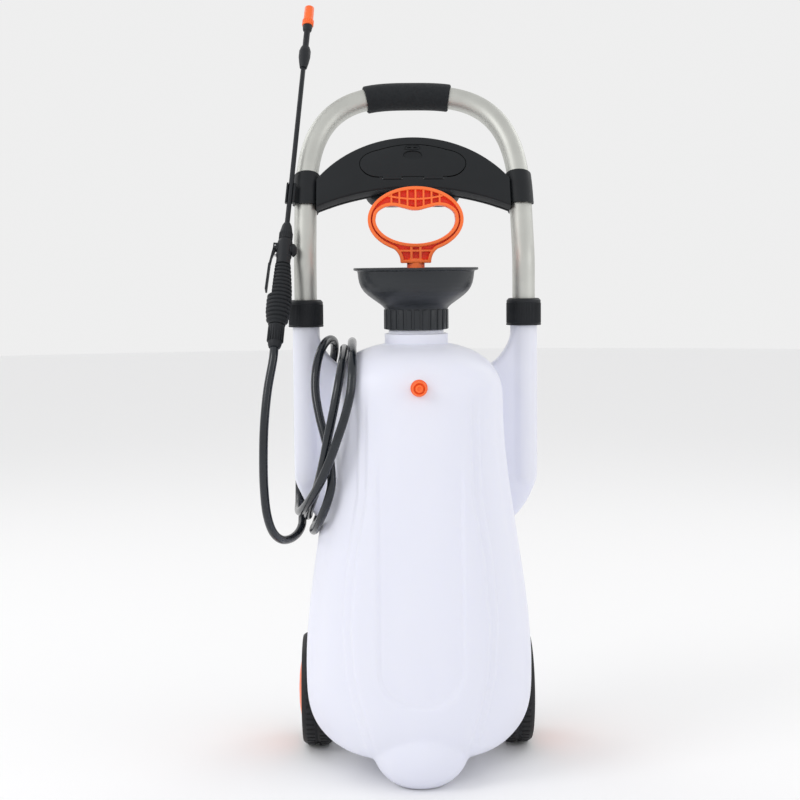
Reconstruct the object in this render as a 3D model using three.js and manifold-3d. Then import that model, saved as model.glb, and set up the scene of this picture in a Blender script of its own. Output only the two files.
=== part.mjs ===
// Trolley pressure sprayer: a moulded tank on two wheels with a telescopic carry handle,
// a funnel neck with a hand pump, a hose wound on the left arm and a spray wand held in a clip.
//
// Millimetres, +Z up, +X right, +Y to the rear. The parts are modelled about the pump's axis
// and the whole is then shifted, so that the origin is the centre of the front foot's sole.

import * as THREE from 'three';
import { mergeVertices } from 'three/addons/utils/BufferGeometryUtils.js';
import Module from 'manifold-3d';

const wasm = await Module();
wasm.setup();

// ---------------------------------------------------------------- driving dimensions

const GAP = 0.3; // between pieces that touch

const BODY = {
  bottomZ: 22, cornerTopZ: 128, shoulderZ: 455, topZ: 526,
  halfWidth: 138, shoulderHalfWidth: 104, cornerPower: 3.15, shoulderPower: 2.5,
  depthBase: 14, depthRatio: 0.76, sectionPower: 2.35, wall: 3, sides: 24,
};
const NECK = { flangeR: 38.3, flangeTop: 536, outerR: 32, boreR: 28.5, topZ: 559, rootZ: 505 };
const FOOT = { y: -72, z: 46, radii: [58, 44, 50], wall: 3, rootZ: 92 };
const LEG = { x: 135.5, y: 55, plugZ: 352, tubeR: 14, tubeWall: 1.4 };
const ARM = { outerR: 17, threadR: 16.6, boreR: 14.6, endZ: 357, boreZ: 347, seatZ: 542, topZ: 563 };
const WEB = { thickness: 26, wall: 3 };
const WHEEL = {
  y: 95, radius: 72.5, inner: 109, width: 38, treadR: 69, boreR: 5.35, hubR: 14, capR: 49.6,
  recessR: 78, recessX: 103,
};
const AXLE = { radius: 5, boreR: 5.3, half: 144, tunnelR: 9, housingR: 31, housingY: 86 };
const LEAN = { angle: THREE.MathUtils.degToRad(28), z: 627, bendR: 60, archFoot: 60, archRise: 176.6 };
const ARCH_POWER = 3;
const GRIP = { outerR: 17.75, innerR: 15.3, angles: [65.7, 70, 80, 90, 100, 110.5] };
const PLATE = { front: -16, skin: 3, split: 0.2, inset: 3 };
const WAND = { x: -153.8, front: 18, up: 82.9, tilt: THREE.MathUtils.degToRad(4.46) };
const HOSE = { radius: 5.25, sides: 8, steps: 96 };

// ---------------------------------------------------------------- materials

const FINISHES = {
  tank: { color: '#eef0fb', roughness: 0.38, metalness: 0 },
  black: { color: '#303437', roughness: 0.48, metalness: 0 },
  gloss: { color: '#343a40', roughness: 0.3, metalness: 0 },
  orange: { color: '#ff6a2b', roughness: 0.4, metalness: 0 },
  aluminium: { color: '#c2c3bd', roughness: 0.35, metalness: 0.9 },
  steel: { color: '#a9abad', roughness: 0.3, metalness: 1 },
  foam: { color: '#2b2e31', roughness: 0.9, metalness: 0 },
  rubber: { color: '#26292c', roughness: 0.75, metalness: 0 },
  hose: { color: '#23282f', roughness: 0.3, metalness: 0 },
  clear: { color: '#dfe3e6', roughness: 0.3, metalness: 0 },
};

// ---------------------------------------------------------------- geometry helpers

/** Merges shared vertices, drops empty triangles and turns the faces outwards. */
function closed(geometry) {
  const source = geometry.clone();
  for (const name of ['normal', 'uv', 'uv1']) source.deleteAttribute(name);
  const merged = mergeVertices(source, 1e-4);
  const index = merged.index.array;
  const kept = [];
  for (let i = 0; i < index.length; i += 3) {
    const [a, b, c] = [index[i], index[i + 1], index[i + 2]];
    if (a !== b && b !== c && c !== a) kept.push(a, b, c);
  }
  if (signedVolume(merged.attributes.position.array, kept) < 0) kept.reverse();
  merged.setIndex(kept);
  return merged;
}

function signedVolume(xyz, triangles) {
  const [a, b, c] = [new THREE.Vector3(), new THREE.Vector3(), new THREE.Vector3()];
  let sum = 0;
  for (let i = 0; i < triangles.length; i += 3) {
    a.fromArray(xyz, 3 * triangles[i]);
    b.fromArray(xyz, 3 * triangles[i + 1]);
    c.fromArray(xyz, 3 * triangles[i + 2]);
    sum += a.dot(b.cross(c)) / 6;
  }
  return sum;
}

/** A geometry as a solid for joining and cutting. */
function solid(geometry) {
  const ready = closed(geometry);
  return new wasm.Manifold(new wasm.Mesh({
    numProp: 3,
    vertProperties: new Float32Array(ready.attributes.position.array),
    triVerts: new Uint32Array(ready.index.array),
  }));
}

/** A solid back as a geometry. */
function surface(body) {
  const mesh = body.getMesh();
  const geometry = new THREE.BufferGeometry();
  geometry.setAttribute('position', new THREE.BufferAttribute(mesh.vertProperties, 3));
  geometry.setIndex(new THREE.BufferAttribute(mesh.triVerts, 1));
  return geometry;
}

/** The first geometry with the `add` ones joined to it and the `cut` ones taken away. */
function shaped(base, { add = [], cut = [] }) {
  let result = solid(base);
  for (const piece of add) result = result.add(solid(piece));
  for (const piece of cut) result = result.subtract(solid(piece));
  return surface(result);
}

/** The part of a geometry inside a box given by its two corners. */
function within(base, low, high) {
  return surface(solid(base).intersect(solid(block(low, high))));
}

/** A box between two corners. */
function block(low, high) {
  const size = high.map((value, axis) => value - low[axis]);
  const middle = high.map((value, axis) => (value + low[axis]) / 2);
  return new THREE.BoxGeometry(...size).translate(...middle);
}

/** A turned piece about Z from (radius, z) points; the outline closes on itself or on the axis. */
function turned(outline, sides = 24) {
  const points = outline.map(([r, z]) => new THREE.Vector2(r, z));
  const onAxis = outline[0][0] === 0 && outline[outline.length - 1][0] === 0;
  if (!onAxis) points.push(points[0].clone());
  return new THREE.LatheGeometry(points, sides).rotateX(Math.PI / 2);
}

/** A ring about Z. */
function ring(innerR, outerR, z0, z1, sides = 24) {
  return turned([[innerR, z0], [outerR, z0], [outerR, z1], [innerR, z1]], sides);
}

/** A rod along Z. */
function rod(radius, z0, z1, sides = 16) {
  return new THREE.CylinderGeometry(radius, radius, z1 - z0, sides)
    .rotateX(Math.PI / 2).translate(0, 0, (z0 + z1) / 2);
}

/** Turns a piece made along +Z so that it lies along +X. */
function alongX(geometry) {
  return geometry.rotateY(Math.PI / 2);
}

/** Turns a piece made along +Z so that it lies along -Y. */
function alongFront(geometry) {
  return geometry.rotateX(Math.PI / 2);
}

/** A flat outline in X and Z, given thickness from y0 to y1. */
function panel(shape, y0, y1, curveSegments = 4) {
  return new THREE.ExtrudeGeometry(shape, { depth: y1 - y0, bevelEnabled: false, curveSegments })
    .rotateX(Math.PI / 2).translate(0, y1, 0);
}

function outlineOf(points) {
  return new THREE.Shape(points.map(([x, z]) => new THREE.Vector2(x, z)));
}

/** A curve whose steps fall on its own points. */
class StationCurve extends THREE.CatmullRomCurve3 {
  getUtoTmapping(u) {
    return u;
  }
}

/** A round tube, or a rod when innerR is 0, along a list of points. */
function sweptTube(points, outerR, innerR, sides) {
  const section = new THREE.Shape();
  const corner = (radius, i) => {
    const angle = (2 * Math.PI * i) / sides;
    return new THREE.Vector2(radius * Math.cos(angle), radius * Math.sin(angle));
  };
  section.setFromPoints(Array.from({ length: sides }, (_, i) => corner(outerR, i)));
  if (innerR > 0) {
    section.holes.push(new THREE.Path(Array.from({ length: sides }, (_, i) => corner(innerR, i))));
  }
  const path = new StationCurve(points, false, 'centripetal');
  return new THREE.ExtrudeGeometry(section, { steps: points.length - 1, extrudePath: path });
}

/** A closed skin through rings of equally many points, from the first ring to the last. */
function loft(rings) {
  const sides = rings[0].length;
  const xyz = rings.flat(2);
  const triangles = [];
  for (let r = 0; r + 1 < rings.length; r += 1) {
    for (let i = 0; i < sides; i += 1) {
      const [a, b] = [r * sides + i, r * sides + ((i + 1) % sides)];
      triangles.push(a, b, b + sides, a, b + sides, a + sides);
    }
  }
  for (const [start, flip] of [[0, true], [(rings.length - 1) * sides, false]]) {
    for (let i = 1; i + 1 < sides; i += 1) {
      const fan = [start, start + i, start + i + 1];
      triangles.push(...(flip ? fan.reverse() : fan));
    }
  }
  const geometry = new THREE.BufferGeometry();
  geometry.setAttribute('position', new THREE.Float32BufferAttribute(xyz, 3));
  geometry.setIndex(triangles);
  return geometry;
}

/** Left and right copies: build gets the side's name and its sign along X. */
function bothSides(build) {
  build('left', -1);
  build('right', 1);
}

// ---------------------------------------------------------------- the assembly

const assembly = new THREE.Group();
const design = new THREE.Group();
design.position.set(0, -FOOT.y, 0);
assembly.add(design);

function addPart(parent, name, geometry, finish) {
  const mesh = new THREE.Mesh(closed(geometry), new THREE.MeshStandardMaterial(FINISHES[finish]));
  mesh.name = name;
  parent.add(mesh);
  return mesh;
}

// ---------------------------------------------------------------- tank

/** The body's outer half-width at a height, before its bottom corner and shoulder close in. */
function waist(z) {
  const rise = THREE.MathUtils.clamp((BODY.shoulderZ - z) / (BODY.shoulderZ - BODY.cornerTopZ), 0, 1);
  const blend = rise * rise * (3 - 2 * rise);
  return BODY.shoulderHalfWidth + (BODY.halfWidth - BODY.shoulderHalfWidth) * blend;
}

/** Heights and half-widths of the body's rings, from the bottom up. */
function bodyStations() {
  const stations = [];
  const cornerHeight = BODY.cornerTopZ - BODY.bottomZ;
  const shoulderHeight = BODY.topZ - BODY.shoulderZ;
  const bent = (value, power) => value ** (2 / power);
  for (const degrees of [76, 54, 34, 16]) {
    const angle = THREE.MathUtils.degToRad(degrees);
    const drop = cornerHeight * bent(Math.sin(angle), BODY.cornerPower);
    stations.push([BODY.cornerTopZ - drop, BODY.halfWidth * bent(Math.cos(angle), BODY.cornerPower)]);
  }
  for (const z of [BODY.cornerTopZ, 190, 250, 310, 380, BODY.shoulderZ]) {
    stations.push([z, waist(z)]);
  }
  for (const degrees of [22, 46, 68]) {
    const angle = THREE.MathUtils.degToRad(degrees);
    const rise = shoulderHeight * bent(Math.sin(angle), BODY.shoulderPower);
    stations.push([
      BODY.shoulderZ + rise,
      BODY.shoulderHalfWidth * bent(Math.cos(angle), BODY.shoulderPower),
    ]);
  }
  return stations;
}

/** One rounded-oblong ring of the body. */
function bodyRing(z, halfWidth, inset) {
  const halfDepth = BODY.depthBase + BODY.depthRatio * halfWidth;
  const bent = (value) => Math.sign(value) * Math.abs(value) ** (2 / BODY.sectionPower);
  return Array.from({ length: BODY.sides }, (_, i) => {
    const angle = (2 * Math.PI * i) / BODY.sides;
    return [(halfWidth - inset) * bent(Math.cos(angle)), (halfDepth - inset) * bent(Math.sin(angle)), z];
  });
}

/** The body's skin, drawn in by an inset for its inner face. */
function bodySkin(inset) {
  const span = BODY.topZ - BODY.bottomZ;
  const scale = (span - 2 * inset) / span;
  const rings = bodyStations().map(([z, halfWidth]) => (
    bodyRing(BODY.bottomZ + inset + (z - BODY.bottomZ) * scale, halfWidth, inset)
  ));
  return loft(rings);
}

/** The moulded web between an arm and the body, as an outline on the right-hand side. */
function webOutline(inset) {
  const outer = [
    [80, 288], [104, 290], [116, 304], [127, 315], [138, 334], [147, 352], [152, 376],
    [136, 400], [136, 542], [121, 540], [118, 524], [111, 511], [102, 500], [92, 493], [80, 488],
  ];
  const inner = [
    [80, 292], [102, 294], [112, 307], [118, 318], [118, 516], [108, 506], [99, 496], [90, 489],
    [80, 484],
  ];
  return outlineOf(inset ? inner : outer);
}

/** A piece made for the right-hand side, mirrored where the sign asks for it. */
function mirrored(geometry, sign) {
  return sign > 0 ? geometry : closed(geometry.clone().scale(-1, 1, 1));
}

/** The web on one side, or the hollow inside it. */
function webPanel(inset, halfThickness, sign) {
  return mirrored(panel(webOutline(inset), LEG.y - halfThickness, LEG.y + halfThickness), sign);
}

/** A rod about a leg's axis. */
function legCylinder(radius, z0, z1, sign, sides = 12) {
  return rod(radius, z0, z1, sides).translate(sign * LEG.x, LEG.y, 0);
}

/** The rounded lobe under the body's front, cut flat where it stands on the ground. */
function footDome(inset) {
  const [rx, ry, rz] = FOOT.radii.map((radius) => radius - inset);
  const dome = new THREE.SphereGeometry(1, 16, 12).rotateX(Math.PI / 2).scale(rx, ry, rz)
    .translate(0, FOOT.y, FOOT.z);
  return within(dome, [-rx, FOOT.y - ry, inset], [rx, FOOT.y + ry, FOOT.rootZ]);
}

const RELIEF = { z: 477, holeR: 7.2, seatY: -92, rootY: -84 };
const OUTLET = {
  x: -62, z: 470, holeR: 6.3, bossR: 10, bossY: 90, rootY: 66, elbowY: 101, reach: 17, nut: 16,
};

/** A rod along Y between two depths, at a place in X and Z. */
function depthRod(radius, x, z, y0, y1, sides = 16) {
  return alongFront(rod(radius, -y1, -y0, sides)).translate(x, 0, z);
}

/** A rod along X between two places, at a depth and a height. */
function crossRod(radius, x0, x1, y, z, sides = 24) {
  return alongX(rod(radius, x0, x1, sides)).translate(0, y, z);
}

/** The round beam moulded across the body's rear, through which the axle runs. */
function axleHousing(inset) {
  const half = WHEEL.recessX - inset;
  return crossRod(AXLE.housingR - inset, -half, half, AXLE.housingY, WHEEL.radius, 20);
}

/** The blow-moulded tank with its neck, arms, webs, wheel recesses and valve seats. */
function tankShell() {
  const joined = [
    footDome(0),
    axleHousing(0),
    rod(NECK.flangeR, NECK.rootZ, NECK.flangeTop, 24),
    rod(NECK.outerR, NECK.rootZ, NECK.topZ, 24),
    depthRod(OUTLET.bossR, OUTLET.x, OUTLET.z, OUTLET.rootY, OUTLET.bossY),
    depthRod(RELIEF.holeR + 3, 0, RELIEF.z, RELIEF.seatY, RELIEF.rootY),
  ];
  const hollow = [bodySkin(BODY.wall), footDome(FOOT.wall), axleHousing(BODY.wall)];
  const cuts = [
    rod(NECK.boreR, NECK.rootZ - 30, NECK.topZ + 1, 24),
    crossRod(AXLE.boreR, -BODY.halfWidth, BODY.halfWidth, WHEEL.y, WHEEL.radius, 16),
    depthRod(RELIEF.holeR, 0, RELIEF.z, RELIEF.seatY - 1, RELIEF.rootY + 20),
    depthRod(OUTLET.holeR, OUTLET.x, OUTLET.z, OUTLET.rootY - 10, OUTLET.bossY + 1),
  ];
  const keepWall = [crossRod(AXLE.tunnelR, -BODY.halfWidth, BODY.halfWidth, WHEEL.y, WHEEL.radius, 12)];
  bothSides((_, sign) => {
    const edge = (x) => [sign * x, sign * (BODY.halfWidth + 12)].sort((a, b) => a - b);
    const recess = edge(WHEEL.recessX);
    const recessWall = edge(WHEEL.recessX - BODY.wall);
    joined.push(webPanel(false, WEB.thickness / 2, sign));
    joined.push(legCylinder(ARM.outerR, ARM.endZ, ARM.seatZ, sign));
    joined.push(legCylinder(ARM.threadR, ARM.endZ, ARM.topZ, sign));
    joined.push(new THREE.SphereGeometry(ARM.outerR, 12, 6).rotateX(Math.PI / 2)
      .translate(sign * LEG.x, LEG.y, ARM.endZ));
    cuts.push(legCylinder(ARM.boreR, ARM.boreZ, ARM.topZ + 1, sign));
    cuts.push(crossRod(WHEEL.recessR, ...recess, WHEEL.y, WHEEL.radius, 24));
    keepWall.push(crossRod(WHEEL.recessR + BODY.wall, ...recessWall, WHEEL.y, WHEEL.radius, 24));
    hollow.push(webPanel(true, WEB.thickness / 2 - WEB.wall, sign));
  });
  const cavity = shaped(hollow[0], { add: hollow.slice(1), cut: keepWall });
  return shaped(bodySkin(0), { add: joined, cut: [cavity, ...cuts] });
}

addPart(design, 'tank_shell', tankShell(), 'tank');

// ---------------------------------------------------------------- wheels and axle

addPart(design, 'axle', crossRod(AXLE.radius, -AXLE.half, AXLE.half, WHEEL.y, WHEEL.radius, 16), 'steel');

function wheelDisc() {
  return turned([
    [WHEEL.boreR, 0], [WHEEL.hubR, 0], [WHEEL.hubR, 5], [58, 5], [60, 0], [WHEEL.treadR, 0],
    [WHEEL.radius, 4], [WHEEL.radius, WHEEL.width - 4], [WHEEL.treadR, WHEEL.width],
    [WHEEL.capR + 0.4, WHEEL.width], [WHEEL.capR, WHEEL.width - 7], [WHEEL.boreR, WHEEL.width - 7],
  ], 24);
}

function hubCap() {
  const rim = WHEEL.capR - GAP;
  return turned([
    [0, 43.5], [22, 42.6], [38, 40.2], [rim, 36], [rim, 31.3],
    [rim - 3, 31.3], [rim - 3, 34.6], [22, 39.6], [0, 40.6],
  ], 24);
}

bothSides((side, sign) => {
  const place = (geometry) => {
    geometry.translate(0, 0, WHEEL.inner).rotateY((sign * Math.PI) / 2);
    return geometry.translate(0, WHEEL.y, WHEEL.radius);
  };
  addPart(design, `${side}_wheel`, place(wheelDisc()), 'black');
  addPart(design, `${side}_hub_cap`, place(hubCap()), 'orange');
  addPart(design, `${side}_push_nut`, place(ring(AXLE.boreR, 10, 31.4, 33.4, 16)), 'steel');
});

// ---------------------------------------------------------------- neck, funnel and pump

const FUNNEL = { floorZ: 565.3, rimZ: 615, rimR: 75.3, bodyR: 39, seatR: 32.5 };
const PUMP = {
  barrelR: 24.5, barrelBore: 22.5, barrelZ: 272, barrelTop: 560, capZ: 583,
  rodR: 6, rodHole: 6.4, rodTop: 599.4, pistonZ: 281.5,
};

addPart(design, 'neck_gasket', ring(28.9, 31.8, NECK.topZ + GAP, 561.2, 16), 'rubber');

addPart(design, 'funnel_collar', turned([
  [28.9, FUNNEL.floorZ], [28.9, 561.5], [FUNNEL.seatR, 561.5], [FUNNEL.seatR, 541],
  [FUNNEL.bodyR, 541], [FUNNEL.bodyR, 567], [43.4, 571], [53, 578], [66.4, 590], [70, 599.5],
  [71.8, 611], [FUNNEL.rimR, 612], [FUNNEL.rimR, FUNNEL.rimZ], [69.6, FUNNEL.rimZ],
  [67.4, 600], [64, 592],
  [51.2, 580.4], [41.6, 573.4], [36, FUNNEL.floorZ],
]), 'gloss');

addPart(design, 'pump_seal', ring(29, 33.5, 565.6, 566.9, 16), 'rubber');

addPart(design, 'pump_cap', turned([
  [PUMP.rodHole, PUMP.capZ], [18, PUMP.capZ], [20, 575.5], [34, 575.5],
  [34, 567.2], [28.2, 567.2], [28.2, 545], [PUMP.barrelR + 0.4, 545],
  [PUMP.barrelR + 0.4, PUMP.barrelTop + GAP], [PUMP.rodHole, PUMP.barrelTop + GAP],
]), 'black');

/** The pump's cylinder, with four ports in its floor under the check valve. */
function pumpBarrel() {
  const tube = turned([
    [PUMP.barrelR, PUMP.barrelTop], [PUMP.barrelR, PUMP.barrelZ], [3, PUMP.barrelZ],
    [3, PUMP.barrelZ + 4], [PUMP.barrelBore, PUMP.barrelZ + 4], [PUMP.barrelBore, PUMP.barrelTop],
  ]);
  const ports = [0, 1, 2, 3].map((i) => (
    rod(2, PUMP.barrelZ - 1, PUMP.barrelZ + 5, 6).translate(8.5, 0, 0).rotateZ((i * Math.PI) / 2)
  ));
  return shaped(tube, { cut: ports });
}

addPart(design, 'pump_barrel', pumpBarrel(), 'clear');
addPart(design, 'check_valve', turned([
  [0, 269.5], [12, 269.5], [12, 271.7], [2.6, 271.7], [2.6, 276.3], [4.4, 276.3], [4.4, 277.4], [0, 280],
], 16), 'rubber');
addPart(design, 'pump_rod', rod(PUMP.rodR, 290.3, PUMP.rodTop), 'steel');
addPart(design, 'piston', turned([
  [0, PUMP.pistonZ], [21.9, PUMP.pistonZ], [21.9, 286], [19.5, 286], [19.5, 290], [21.9, 290],
  [21.9, 297], [6.3, 297], [6.3, 290], [0, 290],
], 16), 'black');
addPart(design, 'piston_ring', ring(19.9, 22.2, 286.3, 289.7, 16), 'rubber');

/** The D-shaped pull: an oval frame with a hand opening, on a short neck and a stem. */
function pumpHandle() {
  const HAND = { z: 672.5, halfWidth: 57.4, halfHeight: 39.3, halfDepth: 11, neckX: 18.3, baseZ: 620.5 };
  const outline = new THREE.Shape();
  outline.moveTo(HAND.neckX, HAND.baseZ);
  outline.quadraticCurveTo(HAND.neckX - 0.4, 631, 26, 637.4);
  outline.absellipse(0, HAND.z, HAND.halfWidth, HAND.halfHeight, -1.1, Math.PI + 1.1, false);
  outline.quadraticCurveTo(0.4 - HAND.neckX, 631, -HAND.neckX, HAND.baseZ);
  outline.closePath();
  const opening = new THREE.Path();
  opening.absellipse(0, HAND.z, 48, 28.8, Math.PI, 2 * Math.PI, false);
  for (const [x, z] of [[44, 683], [37, 687.6], [27, 689.2], [14, 686.6], [0, 683.4]]) {
    opening.lineTo(x, z);
  }
  for (const [x, z] of [[-14, 686.6], [-27, 689.2], [-37, 687.6], [-44, 683]]) {
    opening.lineTo(x, z);
  }
  outline.holes.push(opening);
  const frame = panel(outline, -HAND.halfDepth, HAND.halfDepth, 14);
  const stem = rod(10.75, PUMP.capZ + GAP, HAND.baseZ + 4, 20);
  return shaped(frame, { add: [stem], cut: [rod(PUMP.rodR + GAP, PUMP.capZ - 1, PUMP.rodTop + GAP)] });
}

addPart(design, 'pump_handle', pumpHandle(), 'orange');

// ---------------------------------------------------------------- pressure relief valve

addPart(design, 'relief_body', alongFront(turned([
  [3.4, 68], [6.9, 68], [6.9, 92.3], [10, 92.3], [10, 95], [3.4, 95],
], 12)).translate(0, 0, RELIEF.z), 'orange');
addPart(design, 'relief_knob', alongFront(turned([
  [0, 60], [5.5, 60], [5.5, 63.7], [3, 63.7], [3, 95.3], [8.6, 95.3], [9, 96.6], [9, 101.5],
  [7, 104.4], [0, 105],
], 12)).translate(0, 0, RELIEF.z), 'orange');

// ---------------------------------------------------------------- outlet, dip tube and strainer

/** The elbow on the tank's rear, whose spigot goes through the wall to the dip tube. */
function outletElbow() {
  const spigot = depthRod(6, OUTLET.x, OUTLET.z, OUTLET.rootY - 4, OUTLET.bossY + 1);
  const flange = depthRod(10, OUTLET.x, OUTLET.z, OUTLET.bossY + GAP, OUTLET.bossY + 3);
  const turn = depthRod(7.5, OUTLET.x, OUTLET.z, OUTLET.bossY + 2, OUTLET.elbowY + 7.5);
  const arm = crossRod(7.5, OUTLET.x - OUTLET.reach, OUTLET.x, OUTLET.elbowY, OUTLET.z, 16);
  return shaped(spigot, { add: [flange, turn, arm] });
}

addPart(design, 'outlet_elbow', outletElbow(), 'black');
addPart(design, 'outlet_nut', alongX(turned([
  [0, 0], [7.6, 0], [9.4, 4], [9.4, OUTLET.nut], [0, OUTLET.nut],
], 16)).translate(OUTLET.x - OUTLET.reach - GAP - OUTLET.nut, OUTLET.elbowY, OUTLET.z), 'black');
const STRAINER = { x: -36, y: 30 };
const dipPoints = [
  [-62, 57, 478], [-61, 56, 400], [-50, 44, 240], [-38, 32, 110],
  [STRAINER.x, STRAINER.y, 70], [STRAINER.x, STRAINER.y, 48],
].map((point) => new THREE.Vector3(...point));
addPart(design, 'dip_tube', sweptTube(dipPoints, 4.4, 3, 8), 'clear');
addPart(design, 'dip_strainer', turned([
  [4.8, 62], [7, 62], [8, 32], [0, 32], [0, 35], [6.4, 35], [5.8, 47.6], [4.8, 47.6],
], 12).translate(STRAINER.x, STRAINER.y, 0), 'black');

// ---------------------------------------------------------------- telescopic handle

/** A point of the arch in the leaning plane, by its angle from the left foot over the top. */
function archPoint(degrees) {
  const angle = THREE.MathUtils.degToRad(degrees);
  const [c, s] = [Math.cos(angle), Math.sin(angle)];
  const reach = (Math.abs(c) ** ARCH_POWER + Math.abs(s) ** ARCH_POWER) ** (-1 / ARCH_POWER);
  return leaning(-LEG.x * c * reach, LEAN.archFoot + LEAN.archRise * s * reach);
}

/** A point of the leaning plane: across it and up it from the bend. */
function leaning(across, up) {
  return new THREE.Vector3(
    across,
    LEG.y + up * Math.sin(LEAN.angle),
    LEAN.z + up * Math.cos(LEAN.angle),
  );
}

/** The left leg's points, from the foot plug up to the arch. */
function legPoints() {
  const tangent = LEAN.bendR * Math.tan(LEAN.angle / 2);
  const points = [LEG.plugZ + 3, 440, 530, LEAN.z - tangent]
    .map((z) => new THREE.Vector3(-LEG.x, LEG.y, z));
  for (const share of [0.33, 0.67, 1]) {
    const turn = LEAN.angle * share;
    points.push(new THREE.Vector3(
      -LEG.x,
      LEG.y + LEAN.bendR * (1 - Math.cos(turn)),
      LEAN.z - tangent + LEAN.bendR * Math.sin(turn),
    ));
  }
  points.push(leaning(-LEG.x, 38));
  return points;
}

function handlePoints() {
  const left = legPoints();
  const arch = Array.from({ length: 19 }, (_, i) => archPoint(10 * i));
  const right = left.map((point) => new THREE.Vector3(-point.x, point.y, point.z)).reverse();
  return [...left, ...arch, ...right];
}

const legInnerR = LEG.tubeR - LEG.tubeWall;
addPart(design, 'handle_tube', sweptTube(handlePoints(), LEG.tubeR, legInnerR, 10), 'aluminium');

const gripPoints = GRIP.angles.map(archPoint);
addPart(design, 'handle_grip', sweptTube(gripPoints, GRIP.outerR, GRIP.innerR, 12), 'foam');

bothSides((side, sign) => {
  const place = (geometry) => geometry.translate(sign * LEG.x, LEG.y, 0);
  addPart(design, `${side}_tube_plug`, place(turned([
    [0, LEG.plugZ], [13.9, LEG.plugZ], [13.9, LEG.plugZ + 2.6], [11.9, LEG.plugZ + 2.6],
    [11.9, LEG.plugZ + 18], [9, LEG.plugZ + 18], [9, LEG.plugZ + 4], [0, LEG.plugZ + 4],
  ], 14)), 'black');
  addPart(design, `${side}_collet`, place(ring(14.4, 16.6, ARM.topZ + GAP, 569.4, 16)), 'black');
  addPart(design, `${side}_collar`, place(turned([
    [17.3, 542.6], [21.8, 542.6], [21.4, 572.5], [18.6, 576], [14.5, 576], [14.5, 569.7], [17.3, 569.7],
  ], 20)), 'black');
});

// ---------------------------------------------------------------- bracket with its compartment

const leanGroup = new THREE.Group();
leanGroup.position.set(0, LEG.y, LEAN.z);
leanGroup.rotation.x = -LEAN.angle;
design.add(leanGroup);

/** A point of the handle path seen in the leaning group's own axes. */
function toLean(point) {
  const [dy, dz] = [point.y - LEG.y, point.z - LEAN.z];
  const [c, s] = [Math.cos(LEAN.angle), Math.sin(LEAN.angle)];
  return new THREE.Vector3(point.x, dy * c - dz * s, dy * s + dz * c);
}

/** The stretch of a leg that a clamp holds, on the given side. */
function clampStretch(sign) {
  const foot = [leaning(-LEG.x, 30), leaning(-LEG.x, 45)];
  const arch = [0, 10, 20, 30].map(archPoint);
  return [...foot, ...arch].map((point) => {
    const local = toLean(point);
    return new THREE.Vector3(-sign * local.x, local.y, local.z);
  });
}

/** An arc over the middle, by its crown's height and its ends. */
function crownArc(halfSpan, endZ, crownZ, steps) {
  const sag = crownZ - endZ;
  const radius = (halfSpan ** 2 + sag ** 2) / (2 * sag);
  const reach = Math.asin(halfSpan / radius);
  return Array.from({ length: steps + 1 }, (_, i) => {
    const angle = reach * (1 - (2 * i) / steps);
    return [radius * Math.sin(angle), crownZ - radius * (1 - Math.cos(angle))];
  });
}

const CLAMP = { outerR: 16.6, boreR: LEG.tubeR + 0.7, low: 66, top: 117 };
const PLATE_EDGE = { halfSpan: 122, topEnd: 104.5, topCrown: 165.6, lowEnd: 65, lowCrown: 92.2 };

/** The arched plate's outline, drawn in by an inset. */
function plateOutline(inset) {
  const edge = PLATE_EDGE;
  const top = crownArc(edge.halfSpan, edge.topEnd - inset, edge.topCrown - inset, 12);
  const low = crownArc(edge.halfSpan, edge.lowEnd + inset, edge.lowCrown + inset, 10).reverse();
  return outlineOf([...top, ...low]);
}

const LID = { halfWidth: 67, bottom: 107.2, crown: 154, endZ: 126, hingeZ: 104.9, hingeY: -14.3 };

/** The lid's outline: a low arch with rounded ends, drawn in by an inset. */
function lidOutline(inset, bottom) {
  const half = LID.halfWidth - inset;
  const shoulder = LID.endZ + 20 - inset;
  const shape = new THREE.Shape();
  shape.moveTo(-half + 24, bottom);
  shape.lineTo(half - 24, bottom);
  shape.bezierCurveTo(half - 8, bottom, half, bottom + 12, half, LID.endZ);
  shape.bezierCurveTo(half, LID.endZ + 10, half - 10, shoulder - 3, half - 24, shoulder);
  shape.quadraticCurveTo(20, LID.crown - inset, 0, LID.crown - inset);
  shape.quadraticCurveTo(-20, LID.crown - inset, -half + 24, shoulder);
  shape.bezierCurveTo(-half + 10, shoulder - 3, -half, LID.endZ + 10, -half, LID.endZ);
  shape.bezierCurveTo(-half, bottom + 12, -half + 8, bottom, -half + 24, bottom);
  return shape;
}

/** The clamps' sleeves on both legs, limited to a range of depth. */
function clampSleeves(y0, y1) {
  const sleeves = [];
  bothSides((_, sign) => {
    const sleeve = sweptTube(clampStretch(sign), CLAMP.outerR, 0, 12);
    const x = sign * LEG.x;
    sleeves.push(within(sleeve, [x - 20, y0, CLAMP.low], [x + 20, y1, CLAMP.top]));
  });
  return sleeves;
}

/** The bores of both clamps, a little wider than the tube because the tube bends in them. */
function clampBores() {
  return [-1, 1].map((sign) => sweptTube(clampStretch(sign), CLAMP.boreR, 0, 12));
}

/** A slanting cut across the clamps' lower front, so that they are shorter in front. */
function clampChamfer() {
  const wedge = block([-200, -40, 0], [200, 40, 40]).rotateX(THREE.MathUtils.degToRad(20));
  return wedge.translate(0, 0, 33);
}

const CLIP = { low: -25, high: 14, neckLow: 70, neckHigh: 94 };
const SCREWS = [[-106, 76], [-106, 101], [106, 76], [106, 101]];
const KNUCKLES = [[-38, -14], [14, 38]];
const EARS = [[-42.5, -38.5], [-13.5, 13.5], [38.5, 42.5]];

/** A rod along the hinge line of the lid. */
function hingeRod(radius, x0, x1, sides = 8) {
  return crossRod(radius, x0, x1, LID.hingeY, LID.hingeZ, sides);
}

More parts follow.
